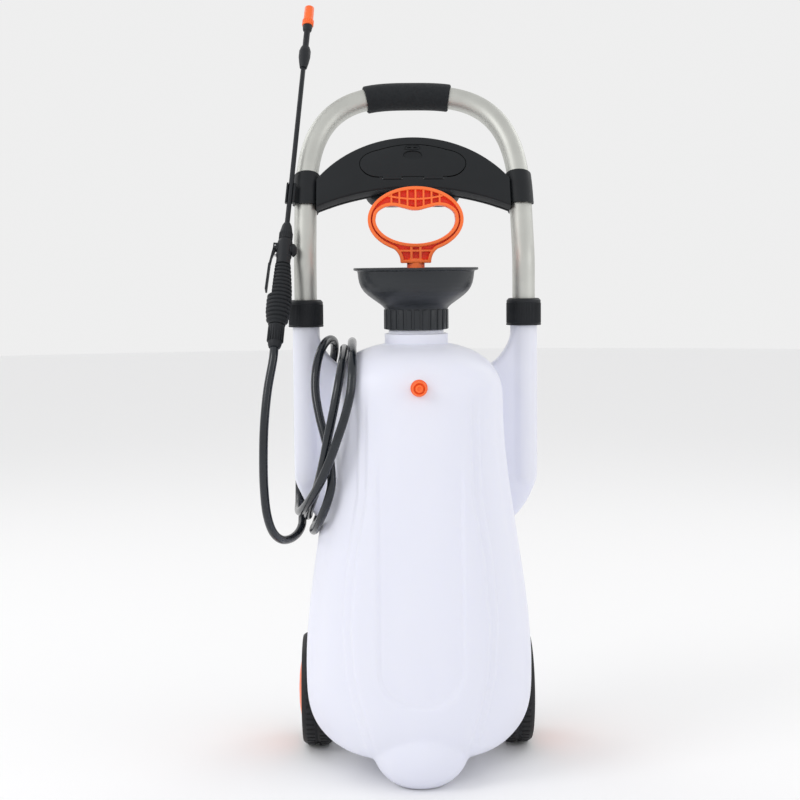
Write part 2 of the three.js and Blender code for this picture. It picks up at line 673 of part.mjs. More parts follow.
/** Moves a piece from the wand's own axes to those of the leaning group. */
function besideWand(geometry) {
  return geometry.rotateY(WAND.tilt).translate(WAND.x, -WAND.front, WAND.up);
}

/** The clip on the left clamp's outer side, which holds the lance from behind and the left. */
function lanceClip() {
  const jaw = besideWand(block([-5.6, -3, CLIP.low], [6.4, 8, CLIP.high]));
  const neck = block([-151, -13.5, CLIP.neckLow], [-137, -PLATE.split, CLIP.neckHigh]);
  return shaped(jaw, { add: [neck] });
}

/** The channel in which the lance lies, open to the front. */
function lanceSeat() {
  const slot = block([-3.5, -9, CLIP.low - 3], [3.5, 0.2, CLIP.high + 3]);
  return besideWand(shaped(slot, { add: [rod(3.5, CLIP.low - 3, CLIP.high + 3, 12)] }));
}

/** The front plate with the lid's opening, the clamps' front halves and the wand's clip. */
function bracketFront() {
  const outer = panel(plateOutline(0), PLATE.front, -PLATE.split);
  const inside = panel(plateOutline(PLATE.inset), PLATE.front + PLATE.skin, 1);
  const opening = panel(
    lidOutline(-0.6, LID.hingeZ - 2.6),
    PLATE.front - 1,
    PLATE.front + PLATE.skin + 1,
  );
  const shell = shaped(outer, {
    add: clampSleeves(-17, -PLATE.split),
    cut: [inside, opening],
  });
  const bosses = SCREWS.map(([x, z]) => depthRod(3.6, x, z, PLATE.front + 1, -PLATE.split, 8));
  const ears = EARS.map(([x0, x1]) => block(
    [x0, PLATE.front + 0.3, LID.hingeZ - 5],
    [x1, PLATE.front + PLATE.skin, LID.hingeZ + 1.8],
  ));
  const pilots = SCREWS.map(([x, z]) => depthRod(1.5, x, z, PLATE.front + 3.4, 1, 8));
  return shaped(shell, {
    add: [...bosses, ...ears, lanceClip()],
    cut: [...clampBores(), ...pilots, hingeRod(1.35, -43, 43), clampChamfer(), lanceSeat()],
  });
}

/** The rear plate with the compartment's tub and the clamps' rear halves. */
function bracketRear() {
  const plate = panel(plateOutline(0), PLATE.split, 3.2);
  const tub = panel(lidOutline(3, LID.bottom - 11.5), PLATE.split, 20);
  const cavity = panel(lidOutline(5.6, LID.bottom - 8.9), -1, 17.4);
  const holes = SCREWS.map(([x, z]) => depthRod(1.9, x, z, -1, 4, 8));
  return shaped(plate, {
    add: [tub, ...clampSleeves(PLATE.split, 17)],
    cut: [cavity, ...holes, ...clampBores(), clampChamfer()],
  });
}

/** The compartment's lid with two knuckles along its lower edge. */
function lidPanel() {
  const skin = panel(lidOutline(0, LID.bottom), PLATE.front, PLATE.front + 2.4);
  const knuckles = KNUCKLES.map(([x0, x1]) => hingeRod(1.7, x0, x1));
  const arms = KNUCKLES.map(([x0, x1]) => block(
    [x0, PLATE.front + 0.2, LID.hingeZ],
    [x1, PLATE.front + 2.4, LID.bottom + 1],
  ));
  return shaped(skin, { add: [...arms, ...knuckles], cut: [hingeRod(1.15, -50, 50)] });
}

addPart(leanGroup, 'bracket_front', bracketFront(), 'black');
addPart(leanGroup, 'bracket_rear', bracketRear(), 'black');
addPart(leanGroup, 'compartment_lid', lidPanel(), 'black');
addPart(leanGroup, 'lid_hinge_pin', hingeRod(0.9, -42, 42, 8), 'steel');
SCREWS.forEach(([x, z], i) => {
  const screw = turned([
    [0, -8], [1.3, -8], [1.3, 3.5], [3.3, 3.5], [3.3, 4.8], [2.4, 5.6], [0, 5.6],
  ], 8).rotateX(-Math.PI / 2);
  addPart(leanGroup, `bracket_screw_${i + 1}`, screw.translate(x, 0, z), 'steel');
});

// ---------------------------------------------------------------- spray wand

const wandGroup = new THREE.Group();
wandGroup.position.set(WAND.x, -WAND.front, WAND.up);
wandGroup.rotation.y = WAND.tilt;
leanGroup.add(wandGroup);

addPart(wandGroup, 'lance_tube', ring(2.2, 3.1, -45.6, 189.6, 12), 'black');
addPart(wandGroup, 'nozzle_elbow', turned([
  [0, 190], [3.4, 190], [3.4, 187], [4.6, 187], [6.2, 195], [7.6, 204], [7.6, 213], [5.6, 219.4],
  [4.05, 220], [4.05, 244], [5.6, 246], [6.6, 253], [0, 253],
], 12), 'black');
addPart(wandGroup, 'nozzle_cap', turned([
  [0, 253.4], [7.6, 253.4], [7.6, 262], [6.4, 264], [6.2, 282.2], [4.4, 282.8], [3, 281], [0, 281],
], 12), 'orange');
addPart(wandGroup, 'lance_nut', turned([
  [0, -66.4], [8.6, -66.4], [8.2, -57], [6, -47], [4, -43], [3.4, -43], [3.4, -46], [0, -46],
], 12), 'black');

const VALVE = { stemZ: -88.5, pivotX: -11.5, pivotZ: -77.5, capZ: -80.5 };

/** The trigger valve: a barrel with a side boss and two ears for the lever's pin. */
function valveBody() {
  const barrel = turned([
    [0, -101], [8.8, -101], [8.8, -92], [9.6, -90], [9.6, -72], [8.4, -66.8], [0, -66.8],
  ], 12);
  const ears = [-5.2, 3.2].map((y) => (
    block([-14, y, VALVE.pivotZ - 4], [-4, y + 2, VALVE.pivotZ + 4])
  ));
  const boss = crossRod(6.6, 0, 9.8, 0, VALVE.capZ, 10);
  const pinHole = depthRod(1.4, VALVE.pivotX, VALVE.pivotZ, -8, 8, 8);
  const stemHole = crossRod(2, -12, -3.4, 0, VALVE.stemZ, 8);
  return shaped(barrel, { add: [...ears, boss], cut: [pinHole, stemHole] });
}

addPart(wandGroup, 'valve_body', valveBody(), 'black');
addPart(wandGroup, 'valve_cap', alongX(turned([
  [0, 10.1], [8.2, 10.1], [8.2, 11.8], [4.4, 15.2], [0, 15.6],
], 12)).translate(0, 0, VALVE.capZ), 'black');
addPart(wandGroup, 'valve_stem', crossRod(1.7, -11.5, -5.2, 0, VALVE.stemZ, 8), 'steel');
addPart(wandGroup, 'trigger_pin', depthRod(1.1, VALVE.pivotX, VALVE.pivotZ, -5.6, 5.6, 8), 'steel');

/** The lever on the grip's outer side, hinged at its top between the valve body's ears. */
function trigger() {
  const lever = outlineOf([
    [-10.4, -74], [-13.6, -74], [-17.8, -104], [-18.6, -138], [-16.2, -138], [-15.2, -104],
    [-13.9, -92.5], [-10.4, -81.5],
  ]);
  const blade = panel(lever, -2.9, 2.9);
  const pad = outlineOf([[-15.4, -102], [-17.6, -102], [-18.6, -138], [-16.2, -138]]);
  return shaped(blade, {
    add: [panel(pad, -6, 6)],
    cut: [depthRod(1.4, VALVE.pivotX, VALVE.pivotZ, -8, 8, 8)],
  });
}

addPart(wandGroup, 'trigger', trigger(), 'black');

/** The soft grip below the valve, relieved where the lever moves. */
function gripSleeve() {
  const body = turned([
    [7.2, -101.3], [9.7, -101.3], [12.4, -121], [14.4, -137], [15.4, -152], [15.2, -166],
    [13, -179], [10.8, -183.3], [7.2, -183.3],
  ], 14);
  return shaped(body, { cut: [block([-20, -20, -145], [-9.2, 20, -100])] });
}

addPart(wandGroup, 'grip_sleeve', gripSleeve(), 'rubber');
addPart(wandGroup, 'grip_tube', rod(6.9, -183.6, -101.3, 14), 'black');
addPart(wandGroup, 'hose_nut', turned([
  [0, -213], [7, -213], [8.2, -209], [10.6, -185], [10.4, -183.9], [0, -183.9],
], 16), 'black');

// ---------------------------------------------------------------- hose

const HOSE_ROUTE = [
  // down from the wand and round the free loop
  [-170.4, -21.8, 520.8], [-171.5, -28.4, 508.5], [-178, -38, 472], [-182, -47, 432],
  [-183.5, -50, 392], [-183.6, -46, 356], [-181.5, -35, 322], [-176, -18, 298], [-167.5, 2, 285],
  [-157.5, 24, 281.5], [-149, 44, 285],
  // up behind the arm, first time
  [-144.5, 60, 292.5], [-144, 73.5, 303], [-140.6, 84.5, 321], [-136, 89, 346], [-134.8, 88, 380],
  [-129, 86, 415], [-121, 85, 447], [-112.5, 85, 474],
  // over the shoulder and down the front, innermost
  [-105.5, 83, 492], [-101.5, 76.5, 507], [-100.5, 67, 517], [-101.5, 54, 524.5], [-105.5, 38, 527.5],
  [-111.5, 21, 523.5], [-117.5, 4, 511], [-121.8, -9, 490], [-122, -19, 466], [-117, -31, 438],
  [-110, -42, 412], [-104.5, -51, 386], [-103.3, -60, 360], [-109.5, -59, 337], [-118, -44, 316],
  [-124.5, -18, 301], [-128, 12, 294],
  // round below the arm and up behind it, second time
  [-128.3, 38, 293], [-127, 56, 294], [-124.2, 69.5, 300.5], [-120.3, 79.5, 310.5], [-115.3, 86, 328],
  [-111.5, 85, 352], [-110, 81, 395], [-105.5, 80, 437], [-99.8, 82, 468],
  // over the shoulder and down the front, middle
  [-95, 80.5, 485], [-92, 75.5, 496.5], [-90, 66.5, 505.5], [-88.7, 54, 512.5], [-88, 36, 516.5],
  [-87.5, 8, 515], [-88, -21, 509.5], [-90, -44, 499.5], [-93.5, -59, 480], [-99, -66.5, 452],
  [-106, -68, 420], [-112.8, -61, 387], [-120.5, -43, 357], [-128, -16, 334], [-132.7, 8, 319.5],
  [-135.2, 33, 309.3], [-136.6, 51, 306.3],
  // round below the arm and up behind it, third time
  [-135.6, 64, 308.8], [-132.4, 76, 315.5], [-128.2, 84.5, 327], [-124, 89.5, 344], [-120.5, 91, 366],
  [-116, 94.5, 390], [-108.5, 96, 414], [-98.5, 91.5, 438], [-91, 84, 458], [-86, 83, 474],
  [-82.8, 84, 488], [-80.3, 80, 501], [-78.8, 71.5, 513], [-78, 58, 521],
  // over the shoulder and down the front, outermost
  [-78, 40, 524.5], [-78, 8, 524.5], [-77.5, -30, 519], [-77, -52, 510.5], [-77.2, -68, 495],
  [-79.2, -77, 472], [-86, -80, 444], [-95.5, -80, 416], [-105.5, -76, 389], [-117, -64, 363],
  [-129.5, -41, 340], [-139.5, -12, 324.5], [-145.3, 17, 317], [-147.5, 46, 316.5], [-147.5, 62, 321],
  // round below the arm and up to the outlet
  [-147.8, 75, 329.5], [-148, 84, 343], [-148, 89.5, 362], [-148.8, 95, 390], [-149, 100, 418],
  [-147.6, 101, 436], [-142.8, 101, 450], [-134, 101, 460.5], [-121, 101, 467.7], [-106, 101, 470],
  [-95.6, 101, 470],
].map((point) => new THREE.Vector3(...point));

/** The hose as a plain round tube along its route. */
function hose() {
  const section = new THREE.Shape(Array.from({ length: HOSE.sides }, (_, i) => {
    const angle = (2 * Math.PI * i) / HOSE.sides;
    return new THREE.Vector2(HOSE.radius * Math.cos(angle), HOSE.radius * Math.sin(angle));
  }));
  const path = new THREE.CatmullRomCurve3(HOSE_ROUTE, false, 'centripetal');
  return new THREE.ExtrudeGeometry(section, { steps: HOSE.steps, extrudePath: path });
}

addPart(design, 'hose', hose(), 'hose');

export default assembly;
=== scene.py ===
"""Looks of a trolley pressure sprayer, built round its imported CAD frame.

Shapes are worked out in millimetres about the pump's axis, or in the axes of the leaning
handle or of the spray wand, and are placed in the part's frame in metres as they are made.
"""

import logging
import math
from collections.abc import Sequence
from dataclasses import dataclass
from enum import Enum

import bmesh
import bpy
import numpy as np
from mathutils import Matrix, Vector


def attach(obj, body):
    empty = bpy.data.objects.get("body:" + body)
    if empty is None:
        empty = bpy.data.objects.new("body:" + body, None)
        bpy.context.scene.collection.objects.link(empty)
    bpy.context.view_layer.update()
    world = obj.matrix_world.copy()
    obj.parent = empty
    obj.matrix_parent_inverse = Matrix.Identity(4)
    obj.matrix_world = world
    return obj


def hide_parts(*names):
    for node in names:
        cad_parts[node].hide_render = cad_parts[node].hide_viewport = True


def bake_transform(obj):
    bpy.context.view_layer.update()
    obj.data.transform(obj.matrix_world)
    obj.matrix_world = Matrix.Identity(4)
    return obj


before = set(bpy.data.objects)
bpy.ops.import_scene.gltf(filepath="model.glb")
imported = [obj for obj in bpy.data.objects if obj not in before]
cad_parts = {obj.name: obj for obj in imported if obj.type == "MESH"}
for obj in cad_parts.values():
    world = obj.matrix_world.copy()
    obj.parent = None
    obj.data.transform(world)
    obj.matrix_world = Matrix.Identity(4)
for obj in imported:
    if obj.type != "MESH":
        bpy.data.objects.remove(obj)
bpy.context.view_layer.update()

LOG = logging.getLogger("sprayer")

Point = tuple[float, float, float]
Flat = tuple[float, float]
Colour = tuple[float, float, float]

AXIS_Y = 72.0
LEG_X, LEG_Y, BEND_Z = 135.5, 55.0, 627.0
LEAN_ANGLE = math.radians(28)
WAND_TILT = math.radians(4.46)
DESIGN = Matrix.Scale(0.001, 4) @ Matrix.Translation((0, AXIS_Y, 0))
LEAN = DESIGN @ Matrix.Translation((0, LEG_Y, BEND_Z)) @ Matrix.Rotation(-LEAN_ANGLE, 4, "X")
WAND = LEAN @ Matrix.Translation((-153.8, -18, 82.9)) @ Matrix.Rotation(WAND_TILT, 4, "Y")
ALONG_X = Matrix.Rotation(math.radians(90), 4, "Y")
ALONG_FRONT = Matrix.Rotation(math.radians(90), 4, "X")


class Body(Enum):
    """The moving bodies of the part."""

    TANK = "tank"
    HANDLE = "handle"
    LEFT_COLLAR = "left_collar"
    RIGHT_COLLAR = "right_collar"
    LEFT_WHEEL = "left_wheel"
    RIGHT_WHEEL = "right_wheel"
    PUMP = "pump"
    PLUNGER = "plunger"
    PULL = "pull"
    RELIEF = "relief"
    LID = "lid"
    TRIGGER = "trigger"
    STEM = "stem"
    NOZZLE = "nozzle"


class Slot(Enum):
    """The record's material slots."""

    TANK = "tank_hdpe"
    BLACK = "black_plastic"
    GLOSS = "gloss_black"
    ORANGE = "orange_plastic"
    TUBE = "aluminium_tube"
    STEEL = "bright_steel"
    FOAM = "grip_foam"
    RUBBER = "black_rubber"
    HOSE = "hose_pvc"
    CLEAR = "clear_plastic"


class Side(Enum):
    """The two sides of the part, with the sign of each along X."""

    LEFT = -1
    RIGHT = 1

    @property
    def word(self) -> str:
        """The side's name in lower case."""
        return self.name.lower()


# ---------------------------------------------------------------- shader building


class Surface:
    """A material under construction, with short calls for the nodes it needs."""

    def __init__(self, name: str) -> None:
        """Starts a material with one Principled shader.

        Args:
            name: The material's name.
        """
        self.material = bpy.data.materials.new(name)
        self.material.use_nodes = True
        self.tree = self.material.node_tree
        self.shader = self.tree.nodes["Principled BSDF"]
        self.coords = self.tree.nodes.new("ShaderNodeTexCoord")

    def put(self, socket: str, value: object) -> None:
        """Sets a shader input to a fixed value, or links it when given a socket.

        Args:
            socket: The shader's input.
            value: A number, a colour or an output socket.
        """
        target = self.shader.inputs[socket]
        if isinstance(value, bpy.types.NodeSocket):
            self.tree.links.new(value, target)
        elif isinstance(value, tuple) and len(value) == 3 and target.type == "RGBA":
            target.default_value = (*value, 1.0)
        else:
            target.default_value = value

    def node(self, kind: str, **inputs: object) -> bpy.types.Node:
        """Adds a node and fills its inputs, given by name with underscores for spaces.

        Args:
            kind: The node's type.
            **inputs: Values or output sockets.

        Returns:
            The new node.
        """
        made = self.tree.nodes.new(kind)
        for name, value in inputs.items():
            target = made.inputs[name.replace("_", " ")]
            if isinstance(value, bpy.types.NodeSocket):
                self.tree.links.new(value, target)
            else:
                target.default_value = value
        return made

    def place(self, scale: Point = (1, 1, 1), uv: bool = False) -> bpy.types.NodeSocket:
        """A coordinate socket, from the object's own axes or from its UV map.

        Args:
            scale: The stretch of the pattern.
            uv: Whether the pattern follows the piece's UV map.

        Returns:
            The mapped coordinates.
        """
        source = self.coords.outputs["UV" if uv else "Object"]
        return self.node("ShaderNodeMapping", Vector=source, Scale=scale).outputs[0]

    def noise(self, at: bpy.types.NodeSocket, scale: float, detail: float = 3.0) -> bpy.types.NodeSocket:
        """A noise value between 0 and 1.

        Args:
            at: The coordinates.
            scale: How fine the noise is.
            detail: How many finer layers it has.

        Returns:
            The noise's factor.
        """
        return self.node("ShaderNodeTexNoise", Vector=at, Scale=scale, Detail=detail).outputs["Fac"]

    def cells(self, at: bpy.types.NodeSocket, scale: float) -> bpy.types.NodeSocket:
        """The distance to the nearest cell centre.

        Args:
            at: The coordinates.
            scale: How fine the cells are.

        Returns:
            The distance.
        """
        return self.node("ShaderNodeTexVoronoi", Vector=at, Scale=scale).outputs["Distance"]

    def spread(self, value: bpy.types.NodeSocket, low: float, high: float,
               source: Flat = (0.3, 0.7)) -> bpy.types.NodeSocket:
        """Spreads a value over a new range.

        Args:
            value: The value.
            low: The new lowest value.
            high: The new highest value.
            source: The range that it comes from.

        Returns:
            The spread value.
        """
        made = self.node("ShaderNodeMapRange", Value=value, To_Min=low, To_Max=high)
        made.inputs["From Min"].default_value, made.inputs["From Max"].default_value = source
        return made.outputs[0]

    def math(self, how: str, first: object, second: object = 0.0) -> bpy.types.NodeSocket:
        """A sum, product or other operation on two values.

        Args:
            how: The operation.
            first: The first value or socket.
            second: The second value or socket.

        Returns:
            The result.
        """
        made = self.tree.nodes.new("ShaderNodeMath")
        made.operation = how
        for target, value in zip(made.inputs, (first, second)):
            if isinstance(value, bpy.types.NodeSocket):
                self.tree.links.new(value, target)
            else:
                target.default_value = value
        return made.outputs[0]

    def axis(self, at: bpy.types.NodeSocket, name: str) -> bpy.types.NodeSocket:
        """One coordinate out of three.

        Args:
            at: The coordinates.
            name: X, Y or Z.

        Returns:
            That coordinate.
        """
        return self.node("ShaderNodeSeparateXYZ", Vector=at).outputs[name]

    def blend(self, factor: bpy.types.NodeSocket, first: Colour, second: Colour) -> bpy.types.NodeSocket:
        """A colour between two colours.

        Args:
            factor: 0 for the first colour, 1 for the second.
            first: The first colour.
            second: The second colour.

        Returns:
            The mixed colour.
        """
        made = self.tree.nodes.new("ShaderNodeMix")
        made.data_type = "RGBA"
        self.tree.links.new(factor, made.inputs["Factor"])
        made.inputs[6].default_value = (*first, 1.0)
        made.inputs[7].default_value = (*second, 1.0)
        return made.outputs[2]

    def relief(self, height: bpy.types.NodeSocket, depth: float,
               below: bpy.types.NodeSocket | None = None) -> bpy.types.NodeSocket:
        """A bump from a height.

        Args:
            height: The height, about 0 to 1.
            depth: The depth in metres that a height of 1 stands for.
            below: An earlier bump to build on.

        Returns:
            The bumped normal.
        """
        made = self.node("ShaderNodeBump", Height=height, Distance=depth, Strength=1.0)
        if below is not None:
            self.tree.links.new(below, made.inputs["Normal"])
        return made.outputs[0]


@dataclass(frozen=True)
class Moulded:
    """A moulded plastic or rubber with a fine grain, slow colour drift and rubbed patches."""

    name: str
    colour: Colour
    shade: Colour
    roughness: float
    grain: float
    grain_depth: float
    specular: float = 0.5
    coat: float = 0.0

    def build(self) -> bpy.types.Material:
        """Makes the material.

        Returns:
            The material.
        """
        surface = Surface(self.name)
        at = surface.place()
        drift = surface.noise(at, 14.0, 2.0)
        surface.put("Base Color", surface.blend(surface.spread(drift, 0, 1), self.colour, self.shade))
        rub = surface.noise(at, 55.0, 4.0)
        surface.put("Roughness", surface.spread(rub, self.roughness - 0.05, self.roughness + 0.07))
        fine = surface.relief(surface.noise(at, self.grain, 2.0), self.grain_depth)
        surface.put("Normal", surface.relief(drift, 0.00025, fine))
        surface.put("Specular IOR Level", self.specular)
        surface.put("Coat Weight", self.coat)
        surface.put("Coat Roughness", 0.12)
        return surface.material


@dataclass(frozen=True)
class BlownTank:
    """Milky blow-moulded polyethylene with flow marks and a parting line along both sides."""

    name: str = "milky_polyethylene"
    colour: Colour = (0.82, 0.83, 0.925)
    shade: Colour = (0.79, 0.803, 0.91)
    line_half: float = 0.0007

    def build(self) -> bpy.types.Material:
        """Makes the material.

        Returns:
            The material.
        """
        surface = Surface(self.name)
        at = surface.place()
        clouds = surface.noise(surface.place((1, 1, 0.35)), 9.0, 3.0)
        surface.put("Base Color", surface.blend(surface.spread(clouds, 0, 1), self.colour, self.shade))
        surface.put("Roughness", surface.spread(surface.noise(at, 30.0), 0.34, 0.44))
        offset = surface.math("ABSOLUTE", surface.math("SUBTRACT", surface.axis(at, "Y"), AXIS_Y / 1000))
        line = surface.spread(offset, 1.0, 0.0, (0.0, self.line_half))
        parting = surface.relief(line, 0.0003)
        skin = surface.relief(surface.noise(at, 900.0, 2.0), 0.00003, parting)
        surface.put("Normal", surface.relief(clouds, 0.0012, skin))
        surface.put("Subsurface Weight", 0.22)
        surface.put("Subsurface Radius", (1.0, 1.0, 1.15))
        surface.put("Subsurface Scale", 0.004)
        surface.put("Specular IOR Level", 0.42)
        return surface.material


@dataclass(frozen=True)
class DrawnTube:
    """Satin anodised tube with fine draw lines along its length."""

    name: str = "satin_aluminium"
    colour: Colour = (0.62, 0.625, 0.59)
    shade: Colour = (0.55, 0.555, 0.525)

    def build(self) -> bpy.types.Material:
        """Makes the material.

        Returns:
            The material.
        """
        surface = Surface(self.name)
        lines = surface.noise(surface.place((260, 3.0, 1), uv=True), 1.0, 3.0)
        clouds = surface.noise(surface.place(), 22.0)
        surface.put("Base Color", surface.blend(surface.spread(clouds, 0, 1), self.colour, self.shade))
        surface.put("Metallic", 1.0)
        surface.put("Roughness", surface.spread(lines, 0.44, 0.56))
        surface.put("Normal", surface.relief(lines, 0.00003))
        return surface.material


@dataclass(frozen=True)
class PlatedSteel:
    """Zinc-plated steel with a brushed, slightly clouded face."""

    name: str = "zinc_plate"
    colour: Colour = (0.56, 0.565, 0.57)
    shade: Colour = (0.45, 0.455, 0.47)

    def build(self) -> bpy.types.Material:
        """Makes the material.

        Returns:
            The material.
        """
        surface = Surface(self.name)
        clouds = surface.noise(surface.place(), 90.0, 4.0)
        brushed = surface.noise(surface.place((60, 60, 900)), 1.0, 2.0)
        surface.put("Base Color", surface.blend(surface.spread(clouds, 0, 1), self.colour, self.shade))
        surface.put("Metallic", 1.0)
        surface.put("Roughness", surface.spread(clouds, 0.22, 0.38))
        surface.put("Normal", surface.relief(brushed, 0.00002))
        return surface.material


@dataclass(frozen=True)
class Foam:
    """Closed-cell foam with open pores at its skin."""

    name: str = "grip_foam"
    colour: Colour = (0.010, 0.0118, 0.014)
    shade: Colour = (0.020, 0.0225, 0.0255)

    def build(self) -> bpy.types.Material:
        """Makes the material.

        Returns:
            The material.
        """
        surface = Surface(self.name)
        at = surface.place()
        pores = surface.cells(at, 1100.0)
        open_pore = surface.spread(pores, 0, 1, (0.1, 0.8))
        surface.put("Base Color", surface.blend(open_pore, self.shade, self.colour))
        surface.put("Roughness", surface.spread(surface.noise(at, 200.0), 0.72, 0.88))
        soft = surface.relief(surface.noise(at, 60.0), 0.0005)
        surface.put("Normal", surface.relief(pores, 0.00022, soft))
        surface.put("Specular IOR Level", 0.25)
        surface.put("Sheen Weight", 0.06)
        surface.put("Sheen Roughness", 0.5)
        return surface.material


@dataclass(frozen=True)
class HoseSkin:
    """Extruded hose skin: glossy, with the faint lines of its die and a slow waviness."""

    name: str = "hose_skin"
    colour: Colour = (0.0045, 0.0075, 0.012)
    shade: Colour = (0.009, 0.013, 0.019)

    def build(self) -> bpy.types.Material:
        """Makes the material.

        Returns:
            The material.
        """
        surface = Surface(self.name)
        lines = surface.noise(surface.place((40, 1.5, 1), uv=True), 1.0, 2.0)
        wave = surface.noise(surface.place((2, 60, 1), uv=True), 1.0, 2.0)
        surface.put("Base Color", surface.blend(surface.spread(wave, 0, 1), self.colour, self.shade))
        surface.put("Roughness", surface.spread(wave, 0.2, 0.3))
        fine = surface.relief(lines, 0.00004)
        surface.put("Normal", surface.relief(wave, 0.00016, fine))
        surface.put("Specular IOR Level", 0.4)
        surface.put("Coat Weight", 0.3)
        surface.put("Coat Roughness", 0.08)
        return surface.material


@dataclass(frozen=True)
class PullPlastic:
    """The pull's orange plastic, with painted shade: deeper and redder from its face down to its recess
    floors.
    """

    name: str = "pull_orange"
    colour: Colour = (1.0, 0.185, 0.035)
    painted_recess_shade: Colour = (1.0, 0.075, 0.018)
    face: float = 0.0105
    floor: float = 0.0035

    def build(self) -> bpy.types.Material:
        """Makes the material.

        Returns:
            The material.
        """
        surface = Surface(self.name)
        at = surface.place()
        depth = surface.math("ABSOLUTE", surface.math("SUBTRACT", surface.axis(at, "Y"), AXIS_Y / 1000))
        # painted shade: the colour turns deeper and redder from the face depth down to the recess floor depth
        painted_recess_shade = surface.spread(depth, 1.0, 0.0, (self.floor, self.face))
        surface.put("Base Color", surface.blend(painted_recess_shade, self.colour, self.painted_recess_shade))
        surface.put("Roughness", surface.spread(surface.noise(at, 70.0), 0.3, 0.42))
        fine = surface.relief(surface.noise(at, 1400.0, 2.0), 0.00002)
        surface.put("Normal", surface.relief(surface.noise(at, 25.0), 0.0003, fine))
        surface.put("Specular IOR Level", 0.45)
        return surface.material


@dataclass(frozen=True)
class ClearPlastic:
    """Natural polypropylene, cloudy and slightly see-through."""

    name: str = "natural_polypropylene"
    colour: Colour = (0.76, 0.78, 0.80)
    shade: Colour = (0.73, 0.75, 0.775)

    def build(self) -> bpy.types.Material:
        """Makes the material.

        Returns:
            The material.
        """
        surface = Surface(self.name)
        at = surface.place()
        clouds = surface.noise(at, 40.0)
        surface.put("Base Color", surface.blend(surface.spread(clouds, 0, 1), self.colour, self.shade))
        surface.put("Roughness", surface.spread(clouds, 0.3, 0.36))
        surface.put("Normal", surface.relief(surface.noise(at, 900.0), 0.000012))
        surface.put("Transmission Weight", 0.12)
        surface.put("Subsurface Weight", 0.2)
        surface.put("Subsurface Scale", 0.004)
        return surface.material


class Palette:
    """Every finish of the part, made once and shared."""

    def __init__(self) -> None:
        """Makes all the materials."""
        black = (0.0105, 0.0125, 0.0155)
        self.tank = BlownTank().build()
        self.black = Moulded("moulded_black", black, (0.0155, 0.0175, 0.021), 0.5, 1500.0,
                             0.00005, 0.3).build()
        self.plate = Moulded("satin_black", (0.0095, 0.0115, 0.0135), (0.0125, 0.0145, 0.017), 0.48,
                             2200.0, 0.00003, 0.26).build()
        self.gloss = Moulded("funnel_black", (0.0125, 0.0155, 0.0195), (0.017, 0.020, 0.0245), 0.36,
                             1200.0, 0.00002, 0.4, 0.06).build()
        self.rubber = Moulded("soft_black", (0.0075, 0.0095, 0.0115), (0.012, 0.014, 0.017), 0.62,
                              1800.0, 0.00006, 0.35).build()
        self.tyre = Moulded("tyre_black", (0.009, 0.0095, 0.011), (0.0165, 0.017, 0.019), 0.62,
                            900.0, 0.00008, 0.4).build()
        self.orange = Moulded("signal_orange", (1.0, 0.17, 0.028), (0.95, 0.145, 0.022), 0.36,
                              1300.0, 0.00003, 0.45).build()
        self.cap = Moulded("cap_orange", (1.0, 0.20, 0.05), (0.94, 0.165, 0.04), 0.34,
                           1300.0, 0.00003, 0.45).build()
        self.pull = PullPlastic().build()
        self.tube = DrawnTube().build()
        self.steel = PlatedSteel().build()
        self.foam = Foam().build()
        self.hose = HoseSkin().build()
        self.clear = ClearPlastic().build()


# ---------------------------------------------------------------- mesh building


@dataclass
class Shape:
    """Points in millimetres and the faces on them, with optional texture places per point."""

    points: np.ndarray
    faces: list[tuple[int, ...]]
    uv: np.ndarray | None = None

    def moved(self, matrix: Matrix) -> "Shape":
        """The shape moved by a matrix.

        Args:
            matrix: The move.

        Returns:
            A new shape.
        """
        table = np.array(matrix)
        points = self.points @ table[:3, :3].T + table[:3, 3]
        return Shape(points, self.faces, self.uv)

    def __add__(self, other: "Shape") -> "Shape":
        """Both shapes as one.

        Args:
            other: The other shape.

        Returns:
            The joined shape.
        """
        shift = len(self.points)
        faces = self.faces + [tuple(i + shift for i in face) for face in other.faces]
        uv = None
        if self.uv is not None or other.uv is not None:
            uv = np.vstack([
                shape.uv if shape.uv is not None else np.zeros((len(shape.points), 2))
                for shape in (self, other)
            ])
        return Shape(np.vstack([self.points, other.points]), faces, uv)


def together(shapes: Sequence[Shape]) -> Shape:
    """Several shapes as one.

    Args:
        shapes: The shapes.

    Returns:
        The whole shape.
    """
    whole = shapes[0]
    for shape in shapes[1:]:
        whole = whole + shape
    return whole


def softened(outline: Sequence[Flat], radius: float, steps: int = 3, loop: bool = False) -> list[Flat]:
    """An outline with its corners rounded.

    Args:
        outline: The outline's corners.
        radius: How far from a corner the rounding starts.
        steps: How many pieces each rounded corner has.
        loop: Whether the outline closes on itself.

    Returns:
        The rounded outline.
    """
    points = [np.array(p, float) for p in outline]
    count = len(points)
    rounded: list[Flat] = []
    for i, point in enumerate(points):
        if not loop and i in (0, count - 1):
            rounded.append((float(point[0]), float(point[1])))
            continue
        before, after = points[i - 1] - point, points[(i + 1) % count] - point
        reach = min(radius, 0.45 * np.linalg.norm(before), 0.45 * np.linalg.norm(after))
        start = point + before / np.linalg.norm(before) * reach
        end = point + after / np.linalg.norm(after) * reach
        for k in range(steps + 1):
            t = k / steps
            at = (1 - t) ** 2 * start + 2 * t * (1 - t) * point + t * t * end
            rounded.append((float(at[0]), float(at[1])))
    return rounded


